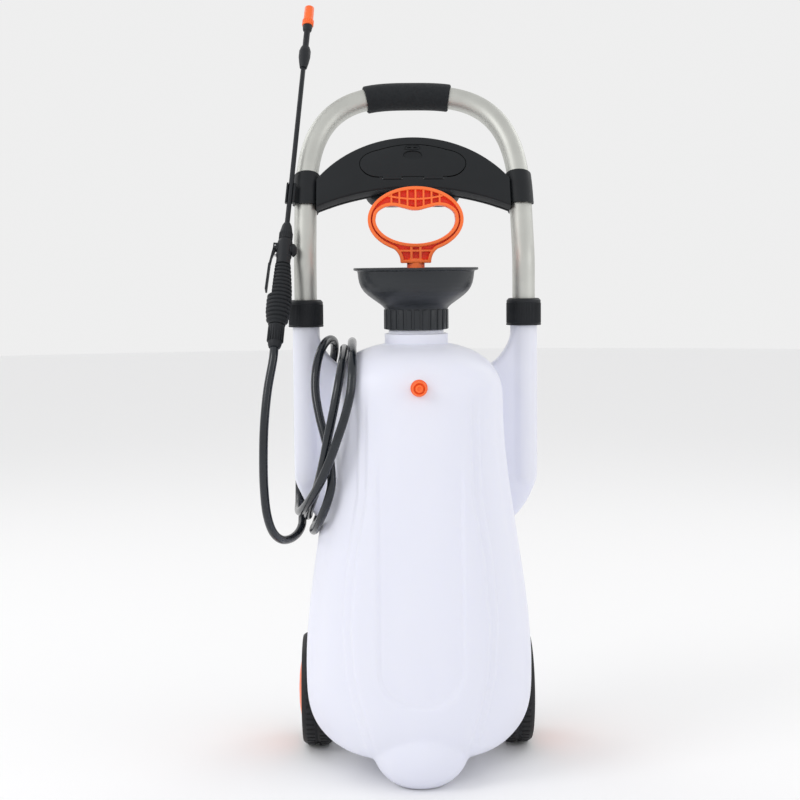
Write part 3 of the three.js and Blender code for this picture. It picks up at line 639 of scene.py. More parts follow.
def lathe(outline: Sequence[Flat], sides: int = 96, loop: bool = False) -> Shape:
    """A turned shape about Z.

    Args:
        outline: Points (radius, height), ending on the axis or closing on itself.
        sides: How many sides it has.
        loop: Whether the outline closes on itself.

    Returns:
        The shape.
    """
    points: list[Point] = []
    rows: list[list[int]] = []
    for radius, height in outline:
        if radius < 1e-6:
            rows.append([len(points)] * sides)
            points.append((0.0, 0.0, height))
            continue
        rows.append(list(range(len(points), len(points) + sides)))
        for i in range(sides):
            angle = 2 * math.pi * i / sides
            points.append((radius * math.cos(angle), radius * math.sin(angle), height))
    faces: list[tuple[int, ...]] = []
    last = len(rows) if loop else len(rows) - 1
    for k in range(last):
        low, high = rows[k], rows[(k + 1) % len(rows)]
        for i in range(sides):
            j = (i + 1) % sides
            corners = list(dict.fromkeys((low[i], low[j], high[j], high[i])))
            if len(corners) > 2:
                faces.append(tuple(corners))
    return Shape(np.array(points), faces)


def smooth_path(points: Sequence[Point], step: float) -> np.ndarray:
    """Points evenly spaced on a centripetal curve through the given ones.

    Args:
        points: The points that the curve goes through.
        step: The spacing to aim for.

    Returns:
        The evenly spaced points.
    """
    given = np.array(points, float)
    ends = np.vstack([2 * given[0] - given[1], given, 2 * given[-1] - given[-2]])
    fine: list[np.ndarray] = []
    for i in range(1, len(ends) - 2):
        p0, p1, p2, p3 = ends[i - 1], ends[i], ends[i + 1], ends[i + 2]
        t1 = max(np.linalg.norm(p1 - p0), 1e-9) ** 0.5
        t2 = t1 + max(np.linalg.norm(p2 - p1), 1e-9) ** 0.5
        t3 = t2 + max(np.linalg.norm(p3 - p2), 1e-9) ** 0.5
        for t in np.linspace(t1, t2, 24, endpoint=False):
            a1 = (t1 - t) / t1 * p0 + t / t1 * p1
            a2 = (t2 - t) / (t2 - t1) * p1 + (t - t1) / (t2 - t1) * p2
            a3 = (t3 - t) / (t3 - t2) * p2 + (t - t2) / (t3 - t2) * p3
            b1 = (t2 - t) / t2 * a1 + t / t2 * a2
            b2 = (t3 - t) / (t3 - t1) * a2 + (t - t1) / (t3 - t1) * a3
            fine.append((t2 - t) / (t2 - t1) * b1 + (t - t1) / (t2 - t1) * b2)
    fine.append(given[-1])
    path = np.array(fine)
    along = np.concatenate([[0], np.cumsum(np.linalg.norm(np.diff(path, axis=0), axis=1))])
    count = max(2, int(round(along[-1] / step)))
    where = np.linspace(0, along[-1], count + 1)
    return np.stack([np.interp(where, along, path[:, k]) for k in range(3)], axis=1)


def tube(path: np.ndarray, radius: float | np.ndarray, sides: int = 32,
         bore: float | None = None) -> Shape:
    """A round tube or rod along a path, with texture places round it and along it.

    Args:
        path: The points that it follows.
        radius: Its radius, or one for each point.
        sides: How many sides it has.
        bore: The radius of its bore, or None for a rod.

    Returns:
        The shape.
    """
    count = len(path)
    radii = np.broadcast_to(np.asarray(radius, float), (count,))
    tangents = np.gradient(path, axis=0)
    tangents /= np.linalg.norm(tangents, axis=1)[:, None]
    side = np.cross(tangents[0], (0, 0, 1) if abs(tangents[0][2]) < 0.9 else (0, 1, 0))
    side /= np.linalg.norm(side)
    along = np.concatenate([[0], np.cumsum(np.linalg.norm(np.diff(path, axis=0), axis=1))]) / 1000
    angles = 2 * np.pi * np.arange(sides + 1) / sides
    rings, places = [], []
    for k in range(count):
        side = side - tangents[k] * np.dot(side, tangents[k])
        side /= np.linalg.norm(side)
        up = np.cross(tangents[k], side)
        circle = np.cos(angles)[:, None] * side + np.sin(angles)[:, None] * up
        rings.append(circle)
        places.append(np.stack([angles / (2 * np.pi), np.full(sides + 1, along[k])], axis=1))
    width = sides + 1
    outer = np.vstack([path[k] + radii[k] * rings[k] for k in range(count)])
    uv = np.vstack(places)
    faces = [
        (k * width + i, k * width + i + 1, (k + 1) * width + i + 1, (k + 1) * width + i)
        for k in range(count - 1) for i in range(sides)
    ]
    if bore is None:
        faces.append(tuple(range(sides))[::-1])
        faces.append(tuple((count - 1) * width + i for i in range(sides)))
        return Shape(outer, faces, uv)
    inner = np.vstack([path[k] + bore * rings[k] for k in range(count)])
    shift = len(outer)
    faces += [tuple(shift + i for i in reversed(face)) for face in faces]
    for row in (0, (count - 1) * width):
        faces += [(row + i, row + i + 1, shift + row + i + 1, shift + row + i) for i in range(sides)]
    return Shape(np.vstack([outer, inner]), faces, np.vstack([uv, uv]))


def to_mesh(name: str, shape: Shape) -> bpy.types.Mesh:
    """A shape as Blender mesh data, welded and with its faces turned outwards.

    Args:
        name: The mesh's name.
        shape: The shape.

    Returns:
        The mesh.
    """
    mesh = bpy.data.meshes.new(name)
    mesh.from_pydata(shape.points.tolist(), [], shape.faces)
    if shape.uv is not None:
        layer = mesh.uv_layers.new(name="UVMap")
        corners = np.empty(len(mesh.loops), int)
        mesh.loops.foreach_get("vertex_index", corners)
        layer.data.foreach_set("uv", shape.uv[corners].astype(np.float32).ravel())
    work = bmesh.new()
    work.from_mesh(mesh)
    bmesh.ops.remove_doubles(work, verts=work.verts, dist=1e-4)
    bmesh.ops.recalc_face_normals(work, faces=work.faces)
    work.to_mesh(mesh)
    work.free()
    return mesh


def loose(name: str, shape: Shape) -> bpy.types.Object:
    """A shape as a plain object in the scene, in millimetres.

    Args:
        name: The name of the piece.
        shape: The shape.

    Returns:
        The object.
    """
    thing = bpy.data.objects.new(name, to_mesh(name, shape))
    bpy.context.scene.collection.objects.link(thing)
    return thing


def settle(thing: bpy.types.Object) -> bpy.types.Object:
    """Applies an object's modifiers to its mesh and takes them off.

    Args:
        thing: The object.

    Returns:
        The same object.
    """
    bpy.context.view_layer.update()
    shown = thing.evaluated_get(bpy.context.evaluated_depsgraph_get())
    mesh = bpy.data.meshes.new_from_object(shown)
    thing.modifiers.clear()
    thing.data = mesh
    return thing


class Join(Enum):
    """How one solid is combined with others."""

    UNION = "UNION"
    CUT = "DIFFERENCE"
    KEEP = "INTERSECT"


def combined(base: bpy.types.Object, others: Sequence[bpy.types.Object], how: Join,
             solver: str = "MANIFOLD") -> bpy.types.Object:
    """A solid joined with, or cut by, other solids, which are used up.

    Args:
        base: The solid that changes.
        others: The other solids.
        how: The operation.
        solver: Blender's solver for it.

    Returns:
        The changed solid.
    """
    for other in others:
        step = base.modifiers.new(how.value, "BOOLEAN")
        step.operation, step.object, step.solver = how.value, other, solver
    settle(base)
    for other in others:
        bpy.data.objects.remove(other)
    return base


def as_shape(thing: bpy.types.Object) -> Shape:
    """Takes an object's mesh out of the scene as a shape.

    Args:
        thing: The object.

    Returns:
        The shape.
    """
    mesh = thing.data
    points = np.empty(len(mesh.vertices) * 3)
    mesh.vertices.foreach_get("co", points)
    faces = [tuple(face.vertices) for face in mesh.polygons]
    bpy.data.objects.remove(thing)
    return Shape(points.reshape(-1, 3), faces)


def solid(base: Shape, add: Sequence[Shape] = (), cut: Sequence[Shape] = (),
          keep: Sequence[Shape] = ()) -> Shape:
    """One shape with others joined to it, cut from it or used to limit it.

    Args:
        base: The first shape.
        add: Shapes joined to it.
        cut: Shapes taken away.
        keep: Shapes outside which everything is taken away.

    Returns:
        The result.
    """
    thing = loose("work", base)
    for shapes, how in ((add, Join.UNION), (cut, Join.CUT), (keep, Join.KEEP)):
        if shapes:
            combined(thing, [loose("tool", shape) for shape in shapes], how)
    return as_shape(thing)


def plate(outline: Sequence[Flat], holes: Sequence[Sequence[Flat]], y0: float, y1: float,
          edge: float = 0.6, steps: int = 2) -> Shape:
    """A flat outline in X and Z given thickness along Y, with rounded edges.

    Args:
        outline: The outline.
        holes: Outlines of its holes.
        y0: Its front face.
        y1: Its rear face.
        edge: The radius of the rounded edges.
        steps: How finely they are rounded.

    Returns:
        The shape.
    """
    curve = bpy.data.curves.new("outline", "CURVE")
    curve.dimensions, curve.fill_mode = "2D", "BOTH"
    curve.extrude = (y1 - y0) / 2 - edge
    curve.bevel_depth, curve.bevel_resolution, curve.offset = edge, steps, -edge
    for ring in (outline, *holes):
        spline = curve.splines.new("POLY")
        spline.points.add(len(ring) - 1)
        spline.points.foreach_set("co", [v for x, z in ring for v in (x, z, 0.0, 1.0)])
        spline.use_cyclic_u = True
    thing = bpy.data.objects.new("outline", curve)
    bpy.context.scene.collection.objects.link(thing)
    bpy.context.view_layer.update()
    mesh = bpy.data.meshes.new_from_object(thing.evaluated_get(bpy.context.evaluated_depsgraph_get()))
    points = np.empty(len(mesh.vertices) * 3)
    mesh.vertices.foreach_get("co", points)
    points = points.reshape(-1, 3)
    turned = np.stack([points[:, 0], (y0 + y1) / 2 + points[:, 2], points[:, 1]], axis=1)
    faces = [tuple(face.vertices) for face in mesh.polygons]
    bpy.data.objects.remove(thing)
    return Shape(turned, faces)


def slab(low: Point, high: Point, edge: float = 0.4) -> Shape:
    """A box between two corners with rounded edges along its depth."""
    corners = [(low[0], low[2]), (high[0], low[2]), (high[0], high[2]), (low[0], high[2])]
    return plate(softened(corners, edge * 1.5, 3, True), (), low[1], high[1], edge)


def grown(ring: Sequence[Flat], by: float) -> list[Flat]:
    """A closed outline moved outwards by a distance, or inwards when it is negative.

    Args:
        ring: The outline.
        by: The distance.

    Returns:
        The moved outline.
    """
    points = np.array(ring, float)
    ahead, behind = np.roll(points, -1, axis=0), np.roll(points, 1, axis=0)
    tangent = ahead - behind
    tangent /= np.linalg.norm(tangent, axis=1)[:, None]
    area = np.sum(points[:, 0] * ahead[:, 1] - ahead[:, 0] * points[:, 1])
    normal = np.stack([tangent[:, 1], -tangent[:, 0]], axis=1) * (1 if area > 0 else -1)
    return [tuple(map(float, p)) for p in points + normal * by]


def dense(ring: Sequence[Flat], step: float) -> list[Flat]:
    """A closed outline resampled at an even step.

    Args:
        ring: The closed outline.
        step: The spacing.

    Returns:
        The resampled outline.
    """
    points = np.array([*ring, ring[0]], float)
    along = np.concatenate([[0], np.cumsum(np.linalg.norm(np.diff(points, axis=0), axis=1))])
    count = max(8, int(along[-1] / step))
    where = np.linspace(0, along[-1], count, endpoint=False)
    return [(float(np.interp(w, along, points[:, 0])), float(np.interp(w, along, points[:, 1])))
            for w in where]


# ---------------------------------------------------------------- copies by Geometry Nodes


class Layout(Enum):
    """How copies of a small piece are laid out."""

    ROUND = "copies_round_axis"
    ROW = "copies_in_row"


class CopyTree:
    """A Geometry Nodes tree that lays copies of a piece round the Z axis or along a line."""

    def __init__(self, layout: Layout) -> None:
        """Builds the tree.

        Args:
            layout: Round an axis or in a row.
        """
        self.layout = layout
        self.tree = bpy.data.node_groups.new(layout.value, "GeometryNodeTree")
        self.sockets: dict[str, str] = {}
        face = self.tree.interface
        face.new_socket("Geometry", in_out="INPUT", socket_type="NodeSocketGeometry")
        for name, kind in (("Count", "Int"), ("Start", "Float"), ("Span", "Float"),
                           ("Step", "Vector"), ("Finish", "Material")):
            made = face.new_socket(name, in_out="INPUT", socket_type=f"NodeSocket{kind}")
            self.sockets[name] = made.identifier
        face.new_socket("Geometry", in_out="OUTPUT", socket_type="NodeSocketGeometry")
        self._wire()

    def _wire(self) -> None:
        """Adds the nodes and their links."""
        nodes, link = self.tree.nodes, self.tree.links.new
        given, result = nodes.new("NodeGroupInput"), nodes.new("NodeGroupOutput")
        line = nodes.new("GeometryNodeMeshLine")
        link(given.outputs["Count"], line.inputs["Count"])
        copies = nodes.new("GeometryNodeInstanceOnPoints")
        link(line.outputs[0], copies.inputs["Points"])
        link(given.outputs["Geometry"], copies.inputs["Instance"])
        if self.layout is Layout.ROW:
            link(given.outputs["Step"], line.inputs["Offset"])
        else:
            line.inputs["Offset"].default_value = (0, 0, 0)
            index = nodes.new("GeometryNodeInputIndex")
            share = nodes.new("ShaderNodeMath")
            share.operation = "DIVIDE"
            link(index.outputs[0], share.inputs[0])
            link(given.outputs["Count"], share.inputs[1])
            turn = nodes.new("ShaderNodeMath")
            turn.operation = "MULTIPLY_ADD"
            link(share.outputs[0], turn.inputs[0])
            link(given.outputs["Span"], turn.inputs[1])
            link(given.outputs["Start"], turn.inputs[2])
            angles = nodes.new("ShaderNodeCombineXYZ")
            link(turn.outputs[0], angles.inputs["Z"])
            link(angles.outputs[0], copies.inputs["Rotation"])
        real = nodes.new("GeometryNodeRealizeInstances")
        link(copies.outputs[0], real.inputs[0])
        dressed = nodes.new("GeometryNodeSetMaterial")
        link(real.outputs[0], dressed.inputs["Geometry"])
        link(given.outputs["Finish"], dressed.inputs["Material"])
        link(dressed.outputs[0], result.inputs["Geometry"])

    def copies(self, piece: Shape, count: int, finish: bpy.types.Material, start: float = 0.0,
               span: float = 360.0, step: Point = (0, 0, 0)) -> Shape:
        """Copies of a piece as one shape.

        Args:
            piece: The small piece, in place for the first copy.
            count: How many copies.
            finish: Their material.
            start: The first copy's angle in degrees.
            span: The angle over which they are spread.
            step: The step of a row.

        Returns:
            All the copies.
        """
        thing = loose("copies", piece)
        maker = thing.modifiers.new("copies", "NODES")
        maker.node_group = self.tree
        values = {"Count": count, "Start": math.radians(start), "Span": math.radians(span),
                  "Step": step, "Finish": finish}
        for name, value in values.items():
            maker[self.sockets[name]] = value
        return as_shape(settle(thing))


ROUND = CopyTree(Layout.ROUND)
ROW = CopyTree(Layout.ROW)


# ---------------------------------------------------------------- finished pieces


def finish_piece(name: str, shape: Shape, matrix: Matrix, finish: bpy.types.Material, body: Body | None,
                 stands_for: Sequence[str] = (), crease: float = 38.0) -> bpy.types.Object:
    """Turns a shape into a finished piece that rides on its body.

    Args:
        name: The piece's name.
        shape: Its shape in millimetres.
        matrix: The move into the part's frame.
        finish: Its material.
        body: The body that it moves with, or None for a piece that rides on no body.
        stands_for: The CAD nodes that it replaces.
        crease: Edges sharper than this angle, in degrees, stay sharp.

    Returns:
        The piece.
    """
    thing = loose(name, shape)
    thing.data.transform(matrix)
    if matrix.determinant() < 0:
        thing.data.flip_normals()
    thing.data.materials.clear()
    thing.data.materials.append(finish)
    thing.data.shade_smooth()
    thing.data.set_sharp_from_angle(angle=math.radians(crease))
    if body is not None:
        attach(thing, body.value)
    if stands_for:
        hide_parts(*stands_for)
    LOG.info("%s: %d faces", name, len(thing.data.polygons))
    return thing


def dress(node: str, finish: bpy.types.Material) -> None:
    """Gives a CAD node that stays visible a better material.

    Args:
        node: The CAD node concerned.
        finish: The material.
    """
    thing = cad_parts[node]
    thing.data.materials.clear()
    thing.data.materials.append(finish)
    LOG.info("%s: dressed", node)


# ---------------------------------------------------------------- tank


def smoothstep(value: np.ndarray, low: float, high: float) -> np.ndarray:
    """A smooth step from 0 at the low value to 1 at the high one."""
    t = np.clip((value - low) / (high - low), 0, 1)
    return t * t * (3 - 2 * t)


@dataclass
class Tank:
    """The blow-moulded tank with its petal-shaped front, foot lobe, arms and neck."""

    palette: Palette
    bottom: float = 22.0
    corner: float = 128.0
    shoulder: float = 455.0
    top: float = 526.0
    half: float = 138.0
    neck_half: float = 104.0
    voxel: float = 2.6
    step_depth: float = 5.2
    petal: tuple[Flat, ...] = ((45, 54), (50.5, 55.5), (95, 68), (139.5, 78.5), (197, 82.5),
                               (274.6, 76), (351, 63.5), (463, 61), (480, 60), (530, 56))
    web: tuple[Flat, ...] = ((80, 284), (102, 286), (116, 296), (129, 309), (140, 325), (148, 343),
                             (152.2, 366), (136, 400), (136, 542), (121, 540), (118, 524), (111, 511),
                             (102, 500), (92, 493), (80, 488))

    def waist(self, z: float) -> float:
        """The half-width of the flank at a height."""
        t = min(max((self.shoulder - z) / (self.shoulder - self.corner), 0), 1)
        return self.neck_half + (self.half - self.neck_half) * t * t * (3 - 2 * t)

    def stations(self) -> list[Flat]:
        """Heights and half-widths of the body's rings, from the bottom up.

        Returns:
            Pairs of height and half-width.
        """
        rings: list[Flat] = []
        for degrees in np.linspace(89, 3, 26):
            a = math.radians(degrees)
            drop = (self.corner - self.bottom) * math.sin(a) ** (2 / 3.15)
            rings.append((self.corner - drop, self.half * math.cos(a) ** (2 / 3.15)))
        rings += [(z, self.waist(z)) for z in np.linspace(self.corner, self.shoulder, 60)]
        for degrees in np.linspace(4, 88, 22):
            a = math.radians(degrees)
            rise = (self.top - self.shoulder) * math.sin(a) ** 0.8
            rings.append((self.shoulder + rise, self.neck_half * math.cos(a) ** 0.8))
        return rings

    def body(self) -> Shape:
        """The plain body, before its details.

        Returns:
            The body as a shape.
        """
        sides = 144
        angles = 2 * np.pi * np.arange(sides) / sides
        cosine, sine = np.cos(angles), np.sin(angles)
        bent_x = np.sign(cosine) * np.abs(cosine) ** (2 / 2.35)
        bent_y = np.sign(sine) * np.abs(sine) ** (2 / 2.35)
        rings = []
        for z, half in self.stations():
            depth = 14 + 0.76 * half
            rings.append(np.stack([half * bent_x, depth * bent_y, np.full(sides, z)], axis=1))
        points = np.vstack(rings)
        faces = [
            (k * sides + i, k * sides + (i + 1) % sides, (k + 1) * sides + (i + 1) % sides,
             (k + 1) * sides + i)
            for k in range(len(rings) - 1) for i in range(sides)
        ]
        faces.append(tuple(range(sides))[::-1])
        faces.append(tuple((len(rings) - 1) * sides + i for i in range(sides)))
        return Shape(points, faces)

    def foot(self) -> Shape:
        """The rounded lobe under the front, flat where it stands.

        Returns:
            The lobe as a shape.
        """
        angles = np.linspace(-math.pi / 2, math.pi / 2, 41)
        ball = lathe([(math.cos(a) if 0 < i < 40 else 0.0, math.sin(a)) for i, a in enumerate(angles)])
        placed = ball.moved(Matrix.Translation((0, -72, 46)) @ Matrix.Diagonal((58, 44, 50, 1)))
        return solid(placed, keep=[slab((-70, -130, 0), (70, 0, 92), 0.2)])

    def arm(self, side: Side) -> list[Shape]:
        """An arm's post and the web that joins it to the body.

        Args:
            side: The side of the part.

        Returns:
            The post and the web.
        """
        sign = side.value
        post = lathe([(0, 326), (5, 328), (10, 335), (14, 343), (16.6, 351), (17.2, 360),
                      (17.2, 372), (17, 542), (16.6, 542.2),
                      (16.6, 563), (0, 563)], 64)
        ring = [(sign * x, z) for x, z in self.web]
        panel = plate(softened(ring, 6, 3, True), (), LEG_Y - 13, LEG_Y + 13, 3.0, 3)
        return [post.moved(Matrix.Translation((sign * LEG_X, LEG_Y, 0))), panel]

    def emboss(self, points: np.ndarray, normals: np.ndarray) -> np.ndarray:
        """Presses the petal's two outlines and the inner panel into the front.

        Args:
            points: The skin's points.
            normals: The skin's normals there.

        Returns:
            The moved points.
        """
        across, up = np.abs(points[:, 0]), points[:, 2]
        heights, halves = zip(*self.petal)
        edge = across - np.interp(up, heights, halves)
        lift = 3.0 * (1 - smoothstep(edge, -3, 2.4)) + 2.2 * (1 - smoothstep(edge, 9, 14))
        facing = smoothstep(-normals[:, 1], 0.08, 0.4) * (points[:, 1] < 0)
        fade = facing * smoothstep(-up, -482, -425) * smoothstep(up, 34, 62)
        sink = (self.step_depth - lift) * fade
        curl = np.hypot(np.maximum(across - 5, 0), np.maximum(151 - up, 0)) - 46
        panel = (1 - smoothstep(curl, -3.5, 1.5)) * smoothstep(-up, -420, -350) * facing
        sink = sink + 2.6 * panel
        return points - normals * sink[:, None]

    def neck(self) -> Shape:
        """The threaded neck with its support flange.

        Returns:
            The neck as a shape.
        """
        outline = [(27, 500), (44, 505), (44, 518.5), (40.5, 520.5), (38.3, 524.5), (38.3, 536),
                   (33.2, 536.2), (33.2, 540.2), (32, 540.6), (32, 559), (28.6, 559), (28.6, 500)]
        return lathe(softened(outline, 1.0, 3, True), 96, True)

    def build(self) -> None:
        """Makes the tank."""
        sides = [piece for side in Side for piece in self.arm(side)]
        housing = lathe([(0, -103), (31, -103), (31, 103), (0, 103)], 64).moved(
            Matrix.Translation((0, 86, 72.5)) @ ALONG_X)
        boss = lathe([(0, -90), (10, -90), (10, -66), (0, -66)], 48).moved(
            Matrix.Translation((-62, 0, 470)) @ ALONG_FRONT @ Matrix.Scale(1, 4))
        seat = lathe([(0, 84), (13, 84), (10.4, 92), (0, 92)], 48).moved(
            Matrix.Translation((0, 0, 477)) @ ALONG_FRONT)
        whole = solid(self.body(), add=[self.foot(), housing, boss, seat, *sides])
        skin = loose("tank_shell_skin", whole)
        grid = skin.modifiers.new("remesh", "REMESH")
        grid.mode, grid.voxel_size, grid.use_smooth_shade = "VOXEL", self.voxel, True
        ease = skin.modifiers.new("ease", "SMOOTH")
        ease.factor, ease.iterations = 0.5, 7
        settle(skin)
        count = len(skin.data.vertices)
        points, normals = np.empty(count * 3), np.empty(count * 3, np.float32)
        skin.data.vertices.foreach_get("co", points)
        skin.data.vertex_normals.foreach_get("vector", normals)
        moved = self.emboss(points.reshape(-1, 3), normals.reshape(-1, 3).astype(float))
        moved[:, 2] = np.maximum(moved[:, 2], 0.0)
        moved[:, 1] = np.maximum(moved[:, 1], -118.8)
        skin.data.vertices.foreach_set("co", moved.ravel())
        cuts = [lathe([(0, 268), (28.6, 268), (28.6, 600), (0, 600)], 64)]
        for side in Side:
            at = Matrix.Translation((side.value * LEG_X, LEG_Y, 0))
            cuts.append(lathe([(0, 350.5), (14.7, 350.5), (14.7, 600), (0, 600)], 48).moved(at))
            rim = Matrix.Translation((side.value * 126.5, 95, 72.5)) @ ALONG_X
            cuts.append(lathe(softened([(0, -23.5), (78, -23.5), (78, 23.5), (0, 23.5)], 3), 96).moved(rim))
        cuts.append(lathe([(0, -130), (5.3, -130), (5.3, 130), (0, 130)], 32).moved(
            Matrix.Translation((0, 95, 72.5)) @ ALONG_X))
        cuts.append(lathe([(0, 60), (7.2, 60), (7.2, 95), (0, 95)], 32).moved(
            Matrix.Translation((0, 0, 477)) @ ALONG_FRONT))
        combined(skin, [loose("cut", cut) for cut in cuts], Join.CUT)
        combined(skin, [loose("neck", self.neck())], Join.UNION)
        finish_piece("tank", as_shape(skin), DESIGN, self.palette.tank, Body.TANK,
                     ["tank_shell"], 50)


# ---------------------------------------------------------------- wheels


@dataclass
class Wheel:
    """A plastic wheel with a ribbed tread and a domed cap over its hub."""

    palette: Palette
    side: Side
    radius: float = 72.5
    treads: int = 54
    ribs: int = 10

    def matrix(self) -> Matrix:
        """The move from the wheel's own axis to its place.

        Returns:
            The move.
        """
        sign = self.side.value
        turn = Matrix.Rotation(math.radians(90 * sign), 4, "Y")
        return DESIGN @ Matrix.Translation((sign * 109, 95, 72.5)) @ turn

    def build(self) -> None:
        """Makes the wheel, its tread, its inner ribs and its cap."""
        r = self.radius - 1.3
        outline = [(5.35, 0), (14, 0), (14, 5), (58, 5), (60, 0), (68, 0), (r, 4.5), (r, 17), (r - 1.2, 18),
                   (r - 1.2, 20), (r, 21), (r, 33.5), (68, 38), (50, 38), (49.6, 31), (5.35, 31)]
        body = lathe(softened(outline, 1.6, 3, True), 144, True)
        block = slab((r - 1.5, -2.6, 5.5), (self.radius - 0.05, 2.6, 15.8), 0.7)
        outer = slab((r - 1.5, -2.6, 22.2), (self.radius - 0.05, 2.6, 32.5), 0.7)
        tread = ROUND.copies(block, self.treads, self.palette.tyre)
        rear = ROUND.copies(outer, self.treads, self.palette.tyre, start=180 / self.treads)
        spoke = slab((13, -1.3, 1.2), (58.5, 1.3, 6), 0.5)
        spokes = ROUND.copies(spoke, self.ribs, self.palette.tyre)
        name = self.side.word
        finish_piece(f"{name}_wheel_tyre", together([body, tread, rear, spokes]), self.matrix(),
                     self.palette.tyre, Body[f"{name.upper()}_WHEEL"], [f"{name}_wheel"])
        cap = [(0, 43.5), (8, 43.4), (9, 42.7), (10, 43.2), (22, 42.5), (30, 41.5), (31, 40.7), (32, 41.0),
               (38, 40.0), (45, 37.9), (49.0, 35.4), (49.2, 34.0), (49.2, 31.4), (46.4, 31.4),
               (46.2, 34.2), (22, 39.6), (0, 40.6)]
        finish_piece(f"{name}_cap", lathe(softened(cap, 0.7), 128), self.matrix(), self.palette.cap,
                     Body[f"{name.upper()}_WHEEL"], [f"{name}_hub_cap"])


# ---------------------------------------------------------------- funnel and pump


@dataclass
class Funnel:
    """The filling funnel with its fluted collar."""

    palette: Palette
    flutes: int = 24

    def build(self) -> None:
        """Makes the funnel and its flutes."""
        outline = [(28.9, 565.3), (28.9, 561.5), (32.5, 561.5), (32.5, 541), (37.6, 541), (37.8, 565.4),
                   (39.2, 567.6), (42.4, 570.6), (47.2, 574), (52.5, 577.8), (58, 582), (62.8, 586.6),
                   (66.2, 591.6), (68.4, 597), (69.6, 603), (70.2, 608), (70.6, 611), (75.3, 612.2),
                   (75.3, 615), (69.2, 615), (68, 607), (66.4, 600.8), (64, 595), (60, 590.2),
                   (51.2, 583), (41.6, 575.4), (36, 571), (35.6, 565.3)]
        bowl = lathe(softened(outline, 1.1, 3, True), 144, True)
        flute = slab((36.6, -3.3, 541.3), (38.95, 3.3, 565.2), 1.2)
        flutes = ROUND.copies(flute, self.flutes, self.palette.gloss)
        finish_piece("funnel", together([bowl, flutes]), DESIGN, self.palette.gloss, Body.TANK,
                     ["funnel_collar"], 32)


@dataclass
class Pump:
    """The pump's barrel, its screwed cap and its piston rod."""

    palette: Palette
    grips: int = 40

    def build(self) -> None:
        """Makes the pump."""
        cap = [(6.5, 582.9), (17.6, 582.9), (19.6, 575.4), (33.1, 575.4), (33.1, 567.3), (28.1, 567.3),
               (28.1, 545), (24.9, 545), (24.9, 560.3), (6.5, 560.3)]
        knurl = ROUND.copies(slab((32.4, -1.2, 567.6), (33.95, 1.2, 574.4), 0.5), self.grips,
                             self.palette.black)
        rib = slab((17, -1.2, 575), (31, 1.2, 577.2), 0.5)
        wings = ROUND.copies(rib, 8, self.palette.black)
        finish_piece("pump_cap_top", together([lathe(softened(cap, 0.8, 3, True), 96, True), knurl, wings]),
                     DESIGN, self.palette.black, Body.PUMP, ["pump_cap"])
        barrel = [(0, 272), (24.5, 272), (24.5, 300), (24.1, 301), (24.1, 540), (24.5, 541), (24.5, 560),
                  (22.5, 560), (22.5, 276), (0, 276)]
        finish_piece("barrel", lathe(softened(barrel, 0.7), 96), DESIGN, self.palette.clear, Body.PUMP,
                     ["pump_barrel"])
        rod = [(0, 290.4), (5.9, 290.4), (5.9, 599.3), (0, 599.3)]
        finish_piece("rod", lathe(softened(rod, 0.6), 48), DESIGN, self.palette.steel, Body.PLUNGER,
                     ["pump_rod"])


